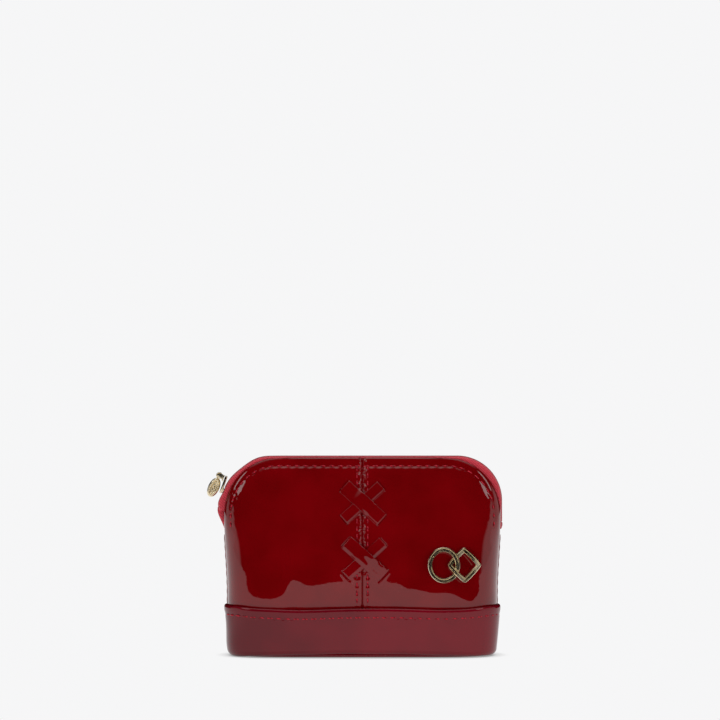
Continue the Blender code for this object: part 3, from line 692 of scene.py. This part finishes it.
def band_edge_wave(x):
    """The band's sewn edge isn't quite straight."""
    return -0.7 * bell(x + 26.0, 15.0) - 0.6 * bell(x - 34.0, 14.0) + 0.5 * smooth((np.abs(x) - 44.0) / 12.0)


def band_grid(side):
    u = band_columns()[None, :]
    heights, insets = band_profile()
    z = heights[:, None] + 0.0 * u
    x, y = band_plan(side, u, BAND_HIGH.x - insets[:, None], -BAND_LOW.y - insets[:, None])
    z = z + band_edge_wave(x) * smooth((z - 4.0) / 12.0)
    z = z + BAND_ARCH * np.maximum(1.0 - (x / 50.0) ** 2, 0.0) * smooth((9.0 - z) / 8.0)
    return np.stack((x, y, z), axis=-1)


def band_relief(x, z, drop):
    relief = stitch_dimples(drop - BAND_STITCH_DROP, x, 0.20, STITCH_PITCH) + 0.06 * bell(drop - 1.2, 0.9)
    waves = 0.10 * np.sin(x / 8.3) * np.sin(z / 6.0) + 0.05 * np.sin(x / 4.1 + z / 5.0)
    buckle = 0.9 * bell(z - 4.5, 5.0) - 0.4 * bell(z - 15.0, 3.6)
    return relief + waves * smooth((drop - 3.0) / 4.0) + buckle * bell(x + 54.0, 4.5)


def band(name, side):
    points = band_grid(side)
    normal = grid_normals(points, side)
    drop = BAND_TOP_Z + band_edge_wave(points[..., 0]) - points[..., 2]
    outer = points + normal * band_relief(points[..., 0], points[..., 2], drop)[..., None]
    attach(sheet(name, outer, normal, LEATHER + 0.5 * bell(drop, 2.0), BAND_PATENT), "root", name)


STRAP = 0.5
STRAP_HUMP = 0.6


def strap(name, centre, slope, half_wide, hump, cup=0.0):
    """A leather strip whose ends dive into their slits; hump lets one lie over the other."""
    middle, along, across, half = strap_frame(centre, slope)
    a = np.linspace(-half - 0.2, half + 0.2, 90)[:, None]
    s = np.linspace(-1.0, 1.0, 25)[None, :]
    x = middle[0] + along[0] * a + across[0] * half_wide * s
    z = middle[1] + along[1] * a + across[1] * half_wide * s
    lift = 0.10 + STRAP + hump * STRAP_HUMP * smooth((5.6 - np.abs(a)) / 3.4) - 0.05 * s ** 2
    lift = lift - 1.0 * smooth((np.abs(a) - half + 0.4) / 0.7) - 0.45 * smooth((-s - 0.55) / 0.45)
    lift = lift + soft_waves(FRONT, x, z) + cup * smooth((s + 0.3) / 1.3) * smooth((half - np.abs(a)) / 3.0)
    normal = grid_normals(on_wall(FRONT, x, z), FRONT)
    attach(sheet(name, on_wall(FRONT, x, z, lift), normal, STRAP, PATENT, rim=4), "front_wall", name)


def side_piping(name, hand):
    """The rolled strip in the side seam."""
    low, high = box_mm(name)
    z = np.linspace(low.z, high.z, 60)
    points = np.stack((hand * (half_width(z) - 0.35), 0.0 * z, z), axis=-1)
    points[:, 0] += hand * 0.06 * np.sin(2.0 * pi * z / STITCH_PITCH)
    attach(add_object(name, *sweep(points, oval(0.75, 1.15, 14)), PATENT), "root", name)


def softened(node, look, body, width_mm, segments=3):
    """A piece from the frame's own solid, with its edges rounded."""
    source = frame["nodes"][node]
    made = bpy.data.objects.new(node + "_finished", source.data.copy())
    bpy.context.scene.collection.objects.link(made)
    made.data.materials.clear()
    made.data.materials.append(look)
    weld = made.modifiers.new("weld", "WELD")
    weld.merge_threshold = 0.000002
    bevel = made.modifiers.new("bevel", "BEVEL")
    bevel.width = width_mm * MM
    bevel.segments = segments
    bevel.limit_method = "ANGLE"
    bevel.angle_limit = radians(35.0)
    made.data.shade_smooth()
    attach(made, body, node)


# ---- lining and hidden layers ----
LINING_BACK = 0.55              # from the leather's inner layers to the lining


def lining_half(name, node, side, hand):
    """Half of a wall's lining, from its middle to the side seam."""
    c = hand * np.linspace(0.0, 1.0, 50)
    plain, normal = wall_grid(side, c, PANEL_ROWS[PANEL_ROWS <= 1.78])
    x = plain[..., 0]
    z = plain[..., 2]
    folds = 0.16 * np.sin(x / 2.9 + 0.6 * side) * smooth((z - 26.0) / 20.0)
    folds += 0.12 * np.sin(z / 5.0 + x / 11.0)
    folds *= smooth((1.0 - np.abs(c)) / 0.2)
    outer = plain - normal * (LINING_LAYER + LINING_BACK + 0.3 * folds[..., None])
    made = sheet(name, outer, normal, CLOTH, LINING, rim=2)
    attach_soft(made, side, hand, node)


def wall_patch(node, side, look):
    """A thin strip behind a wall's leather, over the span of its CAD node."""
    low, high = box_mm(node)
    x = np.linspace(low.x, high.x, 24)[None, :]
    z = np.linspace(low.z, high.z, 30)[:, None]
    grid = on_wall(side, x, z, -MIDDLE_LAYER)
    return sheet(node, grid, grid_normals(grid, side), TAPE, look, rim=2)


def slip_pocket():
    """A pocket on the back lining, with a rolled hem that stands a little open."""
    low, high = box_mm("slip_pocket")
    x = np.linspace(low.x, high.x, 60)[None, :]
    z = np.linspace(low.z, high.z, 34)[:, None]
    drop = high.z - z
    sag = 1.1 * (1.0 - (x / high.x) ** 2) * bell(drop, 9.0)
    depth = LINING_LAYER + CLOTH + 1.1 + sag + 0.12 * np.sin(x / 3.4 + z / 7.0)
    grid = on_wall(BACK, x, z, -depth)
    made = sheet("slip_pocket", grid, grid_normals(grid, BACK), CLOTH + 0.45 * bell(drop, 1.6), LINING, rim=3)
    attach(made, "back_wall", "slip_pocket")


def base_lining():
    """A cloth tray in the foot, with shallow ripples."""
    low, high = box_mm("base_lining")
    count = 120
    u = np.linspace(0.0, 2.0 * pi, count, endpoint=False)
    levels = ((high.z, 0.0), (12.0, 0.5), (7.5, 1.0), (5.2, 1.8), (low.z + 0.1, 3.2))
    inner_levels = tuple((z + (CLOTH if z < 6.0 else 0.0), inset + CLOTH) for z, inset in reversed(levels))
    verts = []
    for z, inset in levels + inner_levels:
        x = (high.x - inset) * np.sign(np.cos(u)) * np.abs(np.cos(u)) ** (2.0 / PLAN_POWER)
        y = (high.y - inset) * np.sign(np.sin(u)) * np.abs(np.sin(u)) ** PLAN_FULLNESS
        wave = 0.12 * np.sin(9.0 * u) + 0.08 * np.sin(14.0 * u + z)
        y = y + np.sign(y) * wave
        verts.append(np.stack((x, y, 0.0 * u + z), axis=-1))
    rows = len(verts)
    faces = grid_faces(len(levels), count, wrap=True)
    faces += grid_faces(rows - len(levels), count, len(levels) * count, wrap=True)
    faces += last_to_first(rows, count)
    floor = (len(levels) - 1) * count
    faces.append(tuple(floor + k for k in range(count)))
    faces.append(tuple(floor + count + k for k in range(count)))
    made = add_object("base_lining", np.concatenate(verts), faces, LINING)
    attach(made, "root", "base_lining")


# ---- the zip ----
def zip_corner(hand, angle, inset):
    radius = ZIP_CORNER_R - inset
    return np.array((hand * (ZIP_CORNER_X + radius * cos(angle)), 0.0, ZIP_CORNER_Z + radius * sin(angle)))


def nearest_on_zip(x, z, inset):
    hand = 1.0 if x >= 0.0 else -1.0
    if z <= ZIP_CORNER_Z:
        return np.array((hand * (ZIP_CORNER_X + ZIP_CORNER_R - inset), 0.0, z))
    if abs(x) <= ZIP_CORNER_X:
        return np.array((x, 0.0, ZIP_CORNER_Z + ZIP_CORNER_R - inset))
    return zip_corner(hand, atan2(z - ZIP_CORNER_Z, abs(x) - ZIP_CORNER_X), inset)


def left_lie(points):
    """The left end of the zip sags below its true corner and swells out below the slider."""
    x = points[..., 0]
    z = points[..., 2]
    angle = np.arctan2(z - ZIP_CORNER_Z, -x - ZIP_CORNER_X)
    sag = 1.25 * bell(angle - radians(52.0), radians(24.0))
    swell = 2.1 * bell(z - LEFT_TAPE_FOOT_Z + 0.8, 4.2)
    moved = np.stack((sag * np.cos(angle) - swell, 0.0 * x, -sag * np.sin(angle)), axis=-1)
    return np.where(x[..., None] < -30.0, moved, 0.0)


def edge_outward(c, v):
    if abs(c) < 1.0:
        return np.array(UP)
    a = (min(v, 2.0) - 1.0) * pi / 2.0
    rise = TOP_Z - SHOULDER_START_Z
    out = np.array((c * cos(a) * rise, 0.0, sin(a) * (BODY_HALF_WIDTH - TOP_HALF_WIDTH)))
    return out / np.linalg.norm(out)


TAPE_REACH = 7.0                # how far the tape goes in behind the leather


def tape_section(side, c, v, along):
    """Points across the tape: level beside the teeth, down the edge and in behind the leather."""
    edge = wall_point(side, c, v)
    out = edge_outward(c, v)
    sideways = abs(out[0])
    level = side * min(2.6 + 0.85 * sideways, float(edge_gap(edge[2])) - 0.55)
    pucker = 0.10 * sin(along / 1.3) * sideways
    section = []
    for inset, y in ((-0.1, side * 0.9), (0.05, side * 1.9), (0.45 + pucker, level)):
        section.append(nearest_on_zip(edge[0], edge[2], COIL_INSET + inset))
        section[-1][1] = y
    tucked = edge - out * (1.0 + 0.75 * sideways)
    tucked[1] = level + side * pucker
    section.append(tucked)
    for reach in (3.0, TAPE_REACH):
        x, _, z = edge - out * reach
        section.append(on_wall(side, x, z, -MIDDLE_LAYER - TAPE / 2))
    section = np.array(section)
    return section + left_lie(section) * np.array((1.0, 1.0, 1.0, 0.5, 0.0, 0.0))[:, None]


def zip_tape_half(name, node, side, hand):
    first = float(row_at((LEFT_TAPE_FOOT_Z if hand < 0 else ZIP_FOOT_Z) - 3.0))
    edge = [(hand, v) for v in np.linspace(first, 2.0, 70)]
    edge += [(hand * c, 2.0) for c in np.linspace(1.0, 0.0, 50)[1:]]
    sections = []
    for k, (c, v) in enumerate(edge):
        section = tape_section(side, c, v, 0.8 * k)
        fine = between(np.linspace(0.0, len(section) - 1.0, 16), np.arange(len(section)), section)
        fine[1:-1] = 0.25 * fine[:-2] + 0.5 * fine[1:-1] + 0.25 * fine[2:]
        sections.append(fine)
    grid = np.array(sections)
    normal = grid_normals(grid)
    if np.sum(normal[60, 5] * (0.0, side, 0.4)) < 0.0:
        normal = -normal
    attach_soft(sheet(name, grid + normal * TAPE / 2, normal, TAPE, ZIP_TAPE, rim=1), side, hand, node)


SLIDER_ANGLE = radians(20.0)    # up the left corner from the horizontal


def corner_run(hand, first, last, count):
    """Points of the teeth round one corner, each with its outward side."""
    angles = np.linspace(first, last, count)
    return [(zip_corner(hand, a, COIL_INSET), (hand * cos(a), 0.0, sin(a))) for a in angles]


def zip_line():
    """The line of the teeth from the slider, over the top, to the far foot, with its outward side."""
    run = corner_run(-1.0, SLIDER_ANGLE - 1.1 / ZIP_CORNER_R, pi / 2, 80)
    for x in np.linspace(-ZIP_CORNER_X, ZIP_CORNER_X, 160)[1:-1]:
        run.append(((x, 0.0, ZIP_TOP_Z - COIL_INSET), UP))
    run += corner_run(1.0, pi / 2, 0.0, 110)
    for z in np.linspace(ZIP_CORNER_Z, ZIP_FOOT_Z, 8)[1:]:
        run.append(((ZIP_HALF_WIDTH - COIL_INSET, 0.0, z), (1.0, 0.0, 0.0)))
    points, outs = (np.array(rows) for rows in zip(*run))
    points = points + left_lie(points)
    return points, outs, lengths_along(points)


ZIP_POINTS, ZIP_OUTS, ZIP_LENGTHS = zip_line()


def along_zip(distance):
    """Point, direction along and outward side at a distance along the line of teeth."""
    behind, at, ahead = between(distance + np.array((-0.2, 0.0, 0.2)), ZIP_LENGTHS, ZIP_POINTS)
    direction = ahead - behind
    out = between(distance, ZIP_LENGTHS, ZIP_OUTS)
    return at, direction / np.linalg.norm(direction), out / np.linalg.norm(out)


TOOTH_PROFILE = oval(0.36, 0.44, 8)
TOOTH_SIZES = (0.55, 0.95, 0.9, 0.85, 1.12, 1.12, 0.5)
TOOTH_REACH = (1.62, 1.5, 1.0, 0.3, -0.1, -0.42, -0.55)


def teeth_half(name, node, side, hand):
    """One row of coil teeth over half the zip, with the cord that they wind round."""
    parts = []
    total = ZIP_LENGTHS[-1]
    offset = 0.0 if side < 0 else TOOTH_PITCH / 2.0
    for k in range(int((total - 0.4) / TOOTH_PITCH)):
        point, direction, out = along_zip(0.3 + offset + k * TOOTH_PITCH)
        if point[0] * hand < 0.0:
            continue
        path = [point + np.array((0.0, side * reach, 0.0)) + out * (0.12 * (abs(reach) < 1.2) - 0.1)
                for reach in TOOTH_REACH]
        parts.append(sweep(path, TOOTH_PROFILE, up=out, scales=TOOTH_SIZES))
    keep = ZIP_POINTS[:, 0] * hand >= -0.3
    core = ZIP_POINTS[keep] + np.array((0.0, side * 1.25, 0.0))
    parts.append(sweep(core, oval(0.42, 0.36, 8)))
    attach_soft(add_object(name, *merge(parts), TEETH), side, hand, node)


def zip_end(name, hand):
    """The folded, puckered ends of the two tapes."""
    low, high = box_mm(name)
    root_x = low.x if hand > 0 else high.x
    reach = high.x - low.x
    rows = 40
    count = 28
    t = np.linspace(0.0, 1.0, rows)[:, None]
    a = np.arange(count) * 2.0 * pi / count
    z = low.z + (high.z + 1.6 - low.z) * t
    swell = reach * (0.3 + 0.7 * smooth(t / 0.75)) * np.minimum(1.0, 3.0 * (1.0 - t) + 0.35)
    wide = high.y * (0.55 + 0.45 * np.sin(pi * np.minimum(t + 0.15, 1.0)))
    fold = 1.0 + 0.05 * np.cos(3.0 * a + 3.0 * t) + 0.02 * np.sin(9.0 * t + 2.0 * np.cos(a))
    x = root_x + hand * swell * (0.5 + 0.5 * np.cos(a)) * fold
    verts = np.stack(np.broadcast_arrays(x, wide * np.sin(a) * fold, z), axis=-1).reshape(-1, 3)
    faces = grid_faces(rows, count, wrap=True) + end_caps(rows, count)
    attach(add_object(name, verts, faces, ZIP_TAPE), "root", name)


# ---- metal ----
def slider_frame():
    """+X up along the teeth, +Y across them and +Z out of the pouch."""
    centre = Vector(zip_corner(-1.0, SLIDER_ANGLE, COIL_INSET))
    tangent = Vector((sin(SLIDER_ANGLE), 0.0, cos(SLIDER_ANGLE)))
    outward = Vector((-cos(SLIDER_ANGLE), 0.0, sin(SLIDER_ANGLE)))
    return place_at(centre, tangent, outward.cross(tangent), outward)


def place_at(middle, x_axis, y_axis, z_axis):
    return Matrix.Translation(middle) @ Matrix((x_axis, y_axis, z_axis)).transposed().to_4x4()


def placed(parts, place):
    """Several parts as one, moved to a place."""
    verts, faces = merge(parts)
    return [place @ Vector(v) for v in verts], faces


def ring_path(half_x, half_y, count, centre=(0.0, 0.0), power=2.0):
    return [(centre[0] + x, centre[1] + y, 0.0) for x, y in oval(half_x, half_y, count, power)]


PULL_TILT = radians(5.0)
PULL_DROP = 5.6                 # from the pull's pin to the middle of its drop
PULL_HALF = (4.3, 2.4)


def pull_tab():
    """An open drop on an eye, with a twisted bar across it and a rope edge of small beads."""
    joint = next(j for j in frame["joints"] if j["name"] == "pull_swing")
    pivot = Vector(joint["pos_m"]) / MM
    turn = slider_frame().to_3x3().to_4x4()
    flat = Matrix.Rotation(radians(90.0), 4, "X")
    place = Matrix.Translation(pivot) @ turn @ flat @ Matrix.Rotation(pi - PULL_TILT, 4, "Z")
    parts = [sweep(ring_path(1.1, 1.1, 28), oval(0.30, 0.75, 12, 2.6), True, UP)]
    parts.append(sweep([(1.2 + 0.3 * k, 0.0, 0.0) for k in range(4)], oval(0.62, 0.8, 12, 2.6), up=UP))
    for inset, bar, deep in ((0.8, 0.8, 1.25), (1.75, 0.45, 1.0)):
        ring = ring_path(PULL_HALF[0] - inset, PULL_HALF[1] - inset, 56, (PULL_DROP, 0.0))
        parts.append(sweep(ring, oval(bar, deep, 14, 2.2), True, UP))
    twist = [(PULL_DROP + x, 0.3 * sin(2.6 * x), 0.0) for x in np.linspace(-2.4, 2.4, 34)]
    parts.append(sweep(twist, oval(0.5, 1.05, 10), up=UP))
    for k in range(24):
        a = 2.0 * pi * k / 24
        for face in (-1.0, 1.0):
            edge = (PULL_DROP + (PULL_HALF[0] - 0.8) * cos(a), (PULL_HALF[1] - 0.8) * sin(a), face * 1.05)
            parts.append(bead(edge, 0.42, 8, 6))
    attach(add_object("pull_tab", *placed(parts, place), GOLD), "pull", "pull_tab")


def bead(centre, radius, around, rings):
    """A small round bead."""
    a = np.linspace(0.0, pi, rings + 1)[1:-1, None]
    b = np.arange(around) * 2.0 * pi / around
    ball = np.broadcast_arrays(np.sin(a) * np.cos(b), np.sin(a) * np.sin(b), np.cos(a))
    verts = np.array(centre) + radius * np.stack(ball, axis=-1).reshape(-1, 3)
    return verts, grid_faces(rings - 1, around, wrap=True) + end_caps(rings - 1, around)


RING_CENTRE = -4.5
RING_HALF_X = 6.8
LOZENGE_CENTRE = 4.2
LOZENGE_HALF_X = 7.2
BADGE_HALF_Z = 7.5
BADGE_BAR = 1.9
BADGE_LIFT = 1.25               # from the leather to the middle of the badge


def badge_place():
    c = across_at(BADGE_X, BADGE_Z)
    out = Vector(wall_normal(FRONT, c, row_at(BADGE_Z)))
    right = out.cross(Vector((0.0, 0.0, -1.0))).normalized()
    return place_at(Vector(on_wall(FRONT, BADGE_X, BADGE_Z, BADGE_LIFT)), right, out.cross(right), out)


def badge():
    """A ring and a lozenge, interlaced, with a hollowed face and a bright rim."""
    half = BADGE_BAR / 2.0
    inset = half * 1.2
    right = [(half, -0.75), (half, 0.62), (half * 0.82, 0.85), (half * 0.55, 0.85), (half * 0.38, 0.5)]
    face = right + [(-x, y) for x, y in reversed(right)]
    ring = ring_path(RING_HALF_X - half, BADGE_HALF_Z - half, 96, (RING_CENTRE, 0.0))
    lozenge = ring_path(LOZENGE_HALF_X - inset, BADGE_HALF_Z - inset, 96, (LOZENGE_CENTRE, 0.0), 1.12)
    weave = [(x, y, 0.35 * sin(2.0 * atan2(y, x - LOZENGE_CENTRE))) for x, y, z in lozenge]
    parts = [sweep(ring, face, True, UP), sweep(weave, face, True, UP)]
    attach_soft(add_object("badge", *placed(parts, badge_place()), GOLD, 32.0), FRONT, 1.0, "badge")


# ---- stitches ----
def stitch(start, end, out):
    """One stitch: a short thread that dips into its holes at both ends."""
    t = np.linspace(0.0, 1.0, 6)[:, None]
    path = start + (end - start) * t + out * (0.50 * np.sin(pi * t) ** 0.6 - 0.40)
    sizes = (0.7, 1.0, 1.08, 1.08, 1.0, 0.7)
    return sweep(path, oval(THREAD_RADIUS, THREAD_RADIUS * 0.85, 7), up=out, scales=sizes)


def stitch_line(points, outs, pitch=STITCH_PITCH, keep=None):
    """Stitches at an even pitch along a line of points; keep picks them by their middle."""
    points = np.asarray(points, float)
    outs = np.asarray(outs, float)
    length = lengths_along(points)
    parts = []
    count = int(length[-1] / pitch)
    start = (length[-1] - count * pitch) / 2.0
    shown = pitch * STITCH_SHARE
    for k in range(count):
        first = start + k * pitch + (pitch - shown) / 2.0
        a = between(first, length, points)
        b = between(first + shown, length, points)
        if keep is None or keep((a + b) / 2.0):
            out = between(first + shown / 2.0, length, outs)
            parts.append(stitch(a, b, out / np.linalg.norm(out)))
    return parts


def wall_line(side, x, z):
    """Points and outward sides of a line on a wall's finished face."""
    return on_wall(side, x, z, panel_relief(side, x, z) + 0.12), wall_normal(side, across_at(x, z), row_at(z))


def top_edge_line():
    """A line a few millimetres inside the leather's top edge, from one shoulder to the other."""
    run = BODY_HALF_WIDTH - TOP_HALF_WIDTH - TOP_STITCH_INSET
    rise = TOP_Z - SHOULDER_START_Z - TOP_STITCH_INSET
    a = np.linspace(radians(-22.0), pi / 2.0, 70)
    right_x = TOP_HALF_WIDTH + run * np.cos(np.maximum(a, 0.0))
    right_z = SHOULDER_START_Z + rise * np.sin(a)
    x = np.concatenate((-right_x, np.linspace(-TOP_HALF_WIDTH, TOP_HALF_WIDTH, 60)[1:-1], right_x[::-1]))
    z = np.concatenate((right_z, np.full(58, TOP_Z - TOP_STITCH_INSET), right_z[::-1]))
    return x, z


def add_stitches(name, parts, side, hand=None):
    made = add_object(name, *merge(parts), THREAD)
    if hand is None:
        attach(made, WALLS[side])
    else:
        attach_soft(made, side, hand)


def wall_stitches(word, side):
    x, z = top_edge_line()
    points, outs = wall_line(side, x, z)
    for hand_word, hand in HANDS:
        parts = stitch_line(points, outs, keep=lambda middle, hand=hand: middle[0] * hand >= 0.0)
        add_stitches(f"{word}_top_stitches_{hand_word}", parts, side, hand)
    z = np.linspace(BAND_TOP_Z + 1.0, TOP_Z - 1.2, 80)
    parts = []
    for x in (-SEAM_STITCH_X, SEAM_STITCH_X):
        parts += stitch_line(*wall_line(side, x + 0.0 * z, z), SEAM_PITCH)
    add_stitches(word + "_seam_stitches", parts, side)


def band_stitches(word, side):
    u = np.linspace(-0.985, 0.985, 240)
    z = BAND_TOP_Z + band_edge_wave(u * BAND_HIGH.x) - BAND_STITCH_DROP
    x, y = band_plan(side, u, BAND_HIGH.x - 0.3, -BAND_LOW.y - 0.3)
    points = np.stack((x, y, z), axis=-1)
    tangent = np.gradient(points, axis=0)
    outs = np.cross(tangent, UP)
    outs /= np.linalg.norm(outs, axis=1, keepdims=True)
    outs *= np.sign(np.sum(outs * np.array((0.0, side, 0.0)), axis=1, keepdims=True))
    parts = stitch_line(points - outs * 0.04, outs)
    attach(add_object(word + "_band_stitches", *merge(parts), THREAD), "root")


def pocket_stitches():
    low, high = box_mm("slip_pocket")
    inset = 1.6
    x = np.concatenate((np.full(20, low.x + inset), np.linspace(low.x + inset, high.x - inset, 40),
                        np.full(20, high.x - inset)))
    z = np.concatenate((np.linspace(high.z - inset, low.z + inset, 20), np.full(40, low.z + inset),
                        np.linspace(low.z + inset, high.z - inset, 20)))
    depth = LINING_LAYER + CLOTH * 2 + 1.15
    points = on_wall(BACK, x, z, -depth)
    outs = -wall_normal(BACK, across_at(x, z), row_at(z))
    add_stitches("pocket_stitches", stitch_line(points, outs), BACK)


# ---- assembly ----
def build_walls():
    for word, side in SIDES:
        for hand_word, hand in HANDS:
            wall_panel(f"{word}_panel_{hand_word}", side, hand)
            lining_half(f"{word}_lining_{hand_word}", word + "_lining", side, hand)
            zip_tape_half(f"{word}_zip_tape_{hand_word}", word + "_zip_tape", side, hand)
            teeth_half(f"{word}_zip_teeth_{hand_word}", word + "_zip_coil", side, hand)
        node = "centre_seam_tape_" + word
        attach(wall_patch(node, side, SUEDE), word + "_wall", node)
        softened("top_stop_" + word, GOLD, "root", 0.15)
        wall_stitches(word, side)


def build_front():
    for word, centre, cup in zip(("upper", "lower"), CROSS_CENTRES, (0.0, 0.45)):
        strap(word + "_strap_under", centre, 1.0, 2.3, 0.0)
        strap(word + "_strap_over", centre, -1.0, 2.9, 1.0, cup)
    badge()
    attach_soft(wall_patch("badge_clip_plate", FRONT, GOLD), FRONT, 1.0, "badge_clip_plate")


def build_foot():
    for word, side in SIDES:
        band("band_" + word, side)
        band_stitches(word, side)
    for hand_word, hand in HANDS:
        side_piping("side_piping_" + hand_word, hand)
        zip_end("zip_end_" + hand_word, hand)
    softened("base_panel", BAND_PATENT, "root", 0.5)
    softened("base_board", BOARD, "root", 0.3)
    softened("bottom_stop", TEETH, "root", 0.2)
    base_lining()


def slider_flanges():
    """The slider's two wings turn in towards each other beside the tapes."""
    parts = []
    for face in (-1.0, 1.0):
        for edge in (-1.0, 1.0):
            path = [(x, edge * (2.5 - 0.55 * float(smooth((x + 1.1) / 4.8))), face * 1.05)
                    for x in np.linspace(-3.6, 3.6, 16)]
            parts.append(sweep(path, oval(0.32, 0.3, 10, 3.0), up=UP))
    attach(add_object("slider_flanges", *placed(parts, slider_frame()), GOLD), "slider")


def build_metal():
    softened("slider_body", GOLD, "slider", 0.22, 4)
    slider_flanges()
    softened("slider_bridge", GOLD, "slider", 0.15)
    pull_tab()


# ---- floor, light and camera ----
BACKDROP = (0.922, 0.922, 0.928)


def floor():
    """A wide pale floor that glows evenly, with a painted contact shadow: a soft dark line where the pouch
    touches it.
    """
    bpy.ops.mesh.primitive_plane_add(size=12.0, location=(0.0, 0.0, -0.0002))
    made = bpy.context.object
    made.name = "floor"
    look = bpy.data.materials.new("floor")
    look.use_nodes = True
    tree = look.node_tree
    tree.nodes.remove(tree.nodes["Principled BSDF"])
    # painted contact shadow: ambient occlusion darkens the floor's glow near the pouch
    near = tree.nodes.new("ShaderNodeAmbientOcclusion")
    near.samples = 16
    near.inputs["Distance"].default_value = 0.012
    glow = tree.nodes.new("ShaderNodeEmission")
    colour = ramp(tree, near.outputs["AO"], (0.1, (0.30, 0.29, 0.29)), (0.75, BACKDROP))
    tree.links.new(colour, glow.inputs["Color"])
    tree.links.new(glow.outputs["Emission"], tree.nodes["Material Output"].inputs["Surface"])
    made.data.materials.append(look)


WINDOWS = ((-0.62, -0.35, 0.62), (0.62, -0.35, 0.62))


def studio():
    """Pale at the sides and above, two small bright windows, and dark in front of the pouch."""
    world = bpy.data.worlds.new("studio")
    bpy.context.scene.world = world
    world.use_nodes = True
    tree = world.node_tree
    nodes = tree.nodes
    direction = nodes.new("ShaderNodeTexCoord").outputs["Generated"]
    split = nodes.new("ShaderNodeSeparateXYZ")
    tree.links.new(direction, split.inputs[0])

    def step(value, low, high, top):
        return map_range(tree, value, (low, high), (0.0, top), "SMOOTHSTEP")

    right = step(split.outputs["X"], 0.80, 0.90, 0.75)
    left = step(maths(tree, "MULTIPLY", split.outputs["X"], -1.0), 0.89, 0.96, 0.75)
    above = step(split.outputs["Z"], 0.80, 0.95, 1.5)
    light = maths(tree, "MAXIMUM", maths(tree, "MAXIMUM", left, right), above)
    light = maths(tree, "ADD", light, 0.004)
    for window in WINDOWS:
        toward = nodes.new("ShaderNodeVectorMath")
        toward.operation = "DOT_PRODUCT"
        tree.links.new(direction, toward.inputs[0])
        toward.inputs[1].default_value = Vector(window).normalized()
        light = maths(tree, "ADD", light, step(toward.outputs["Value"], 0.980, 0.988, 3.4))
    rays = nodes.new("ShaderNodeLightPath").outputs["Is Camera Ray"]
    mix = nodes.new("ShaderNodeMix")
    mix.data_type = "RGBA"
    tree.links.new(rays, mix.inputs["Factor"])
    tree.links.new(light, mix.inputs["A"])
    mix.inputs["B"].default_value = (*BACKDROP, 1.0)
    tree.links.new(mix.outputs["Result"], nodes["Background"].inputs["Color"])


def soft_light(name, place, target, size, power):
    """A light that the gloss doesn't mirror."""
    data = bpy.data.lights.new(name, "AREA")
    data.shape = "RECTANGLE"
    data.size, data.size_y = size
    data.energy = power
    made = bpy.data.objects.new(name, data)
    bpy.context.scene.collection.objects.link(made)
    made.visible_glossy = False
    made.visible_camera = False
    made.location = place
    made.rotation_euler = (Vector(target) - Vector(place)).to_track_quat("-Z", "Y").to_euler()


CAMERA_HEIGHT = 0.1250
CAMERA_DISTANCE = 1.52          # from the lens to the middle of the pouch
FRAME_WIDTH = 0.306
FRAME_CENTRE_X = -0.00098
SENSOR = 0.036


def camera():
    data = bpy.data.cameras.new("camera")
    data.sensor_width = SENSOR / MM
    data.lens = SENSOR / MM * CAMERA_DISTANCE / FRAME_WIDTH
    data.clip_start = 0.05
    data.clip_end = 30.0
    made = bpy.data.objects.new("camera", data)
    bpy.context.scene.collection.objects.link(made)
    made.location = (FRAME_CENTRE_X, -CAMERA_DISTANCE, CAMERA_HEIGHT)
    made.rotation_euler = (pi / 2.0, 0.0, 0.0)
    bpy.context.scene.camera = made


bpy.context.scene.view_settings.view_transform = "Standard"
camera()
floor()
studio()
soft_light("overhead", (0.0, -0.1, 1.3), (0.0, 0.0, 0.05), (1.4, 0.5), 6.5)
soft_light("low front", (0.0, -0.30, 0.02), (0.0, 0.0, 0.02), (0.5, 0.03), 0.55)
soft_light("left", (-1.3, -0.9, 0.5), (0.0, 0.0, 0.04), (0.5, 0.9), 3.0)
soft_light("right", (1.3, -0.9, 0.5), (0.0, 0.0, 0.04), (0.5, 0.9), 3.0)
build_walls()
build_front()
build_foot()
build_metal()
slip_pocket()
pocket_stitches()

bpy.context.view_layer.update()
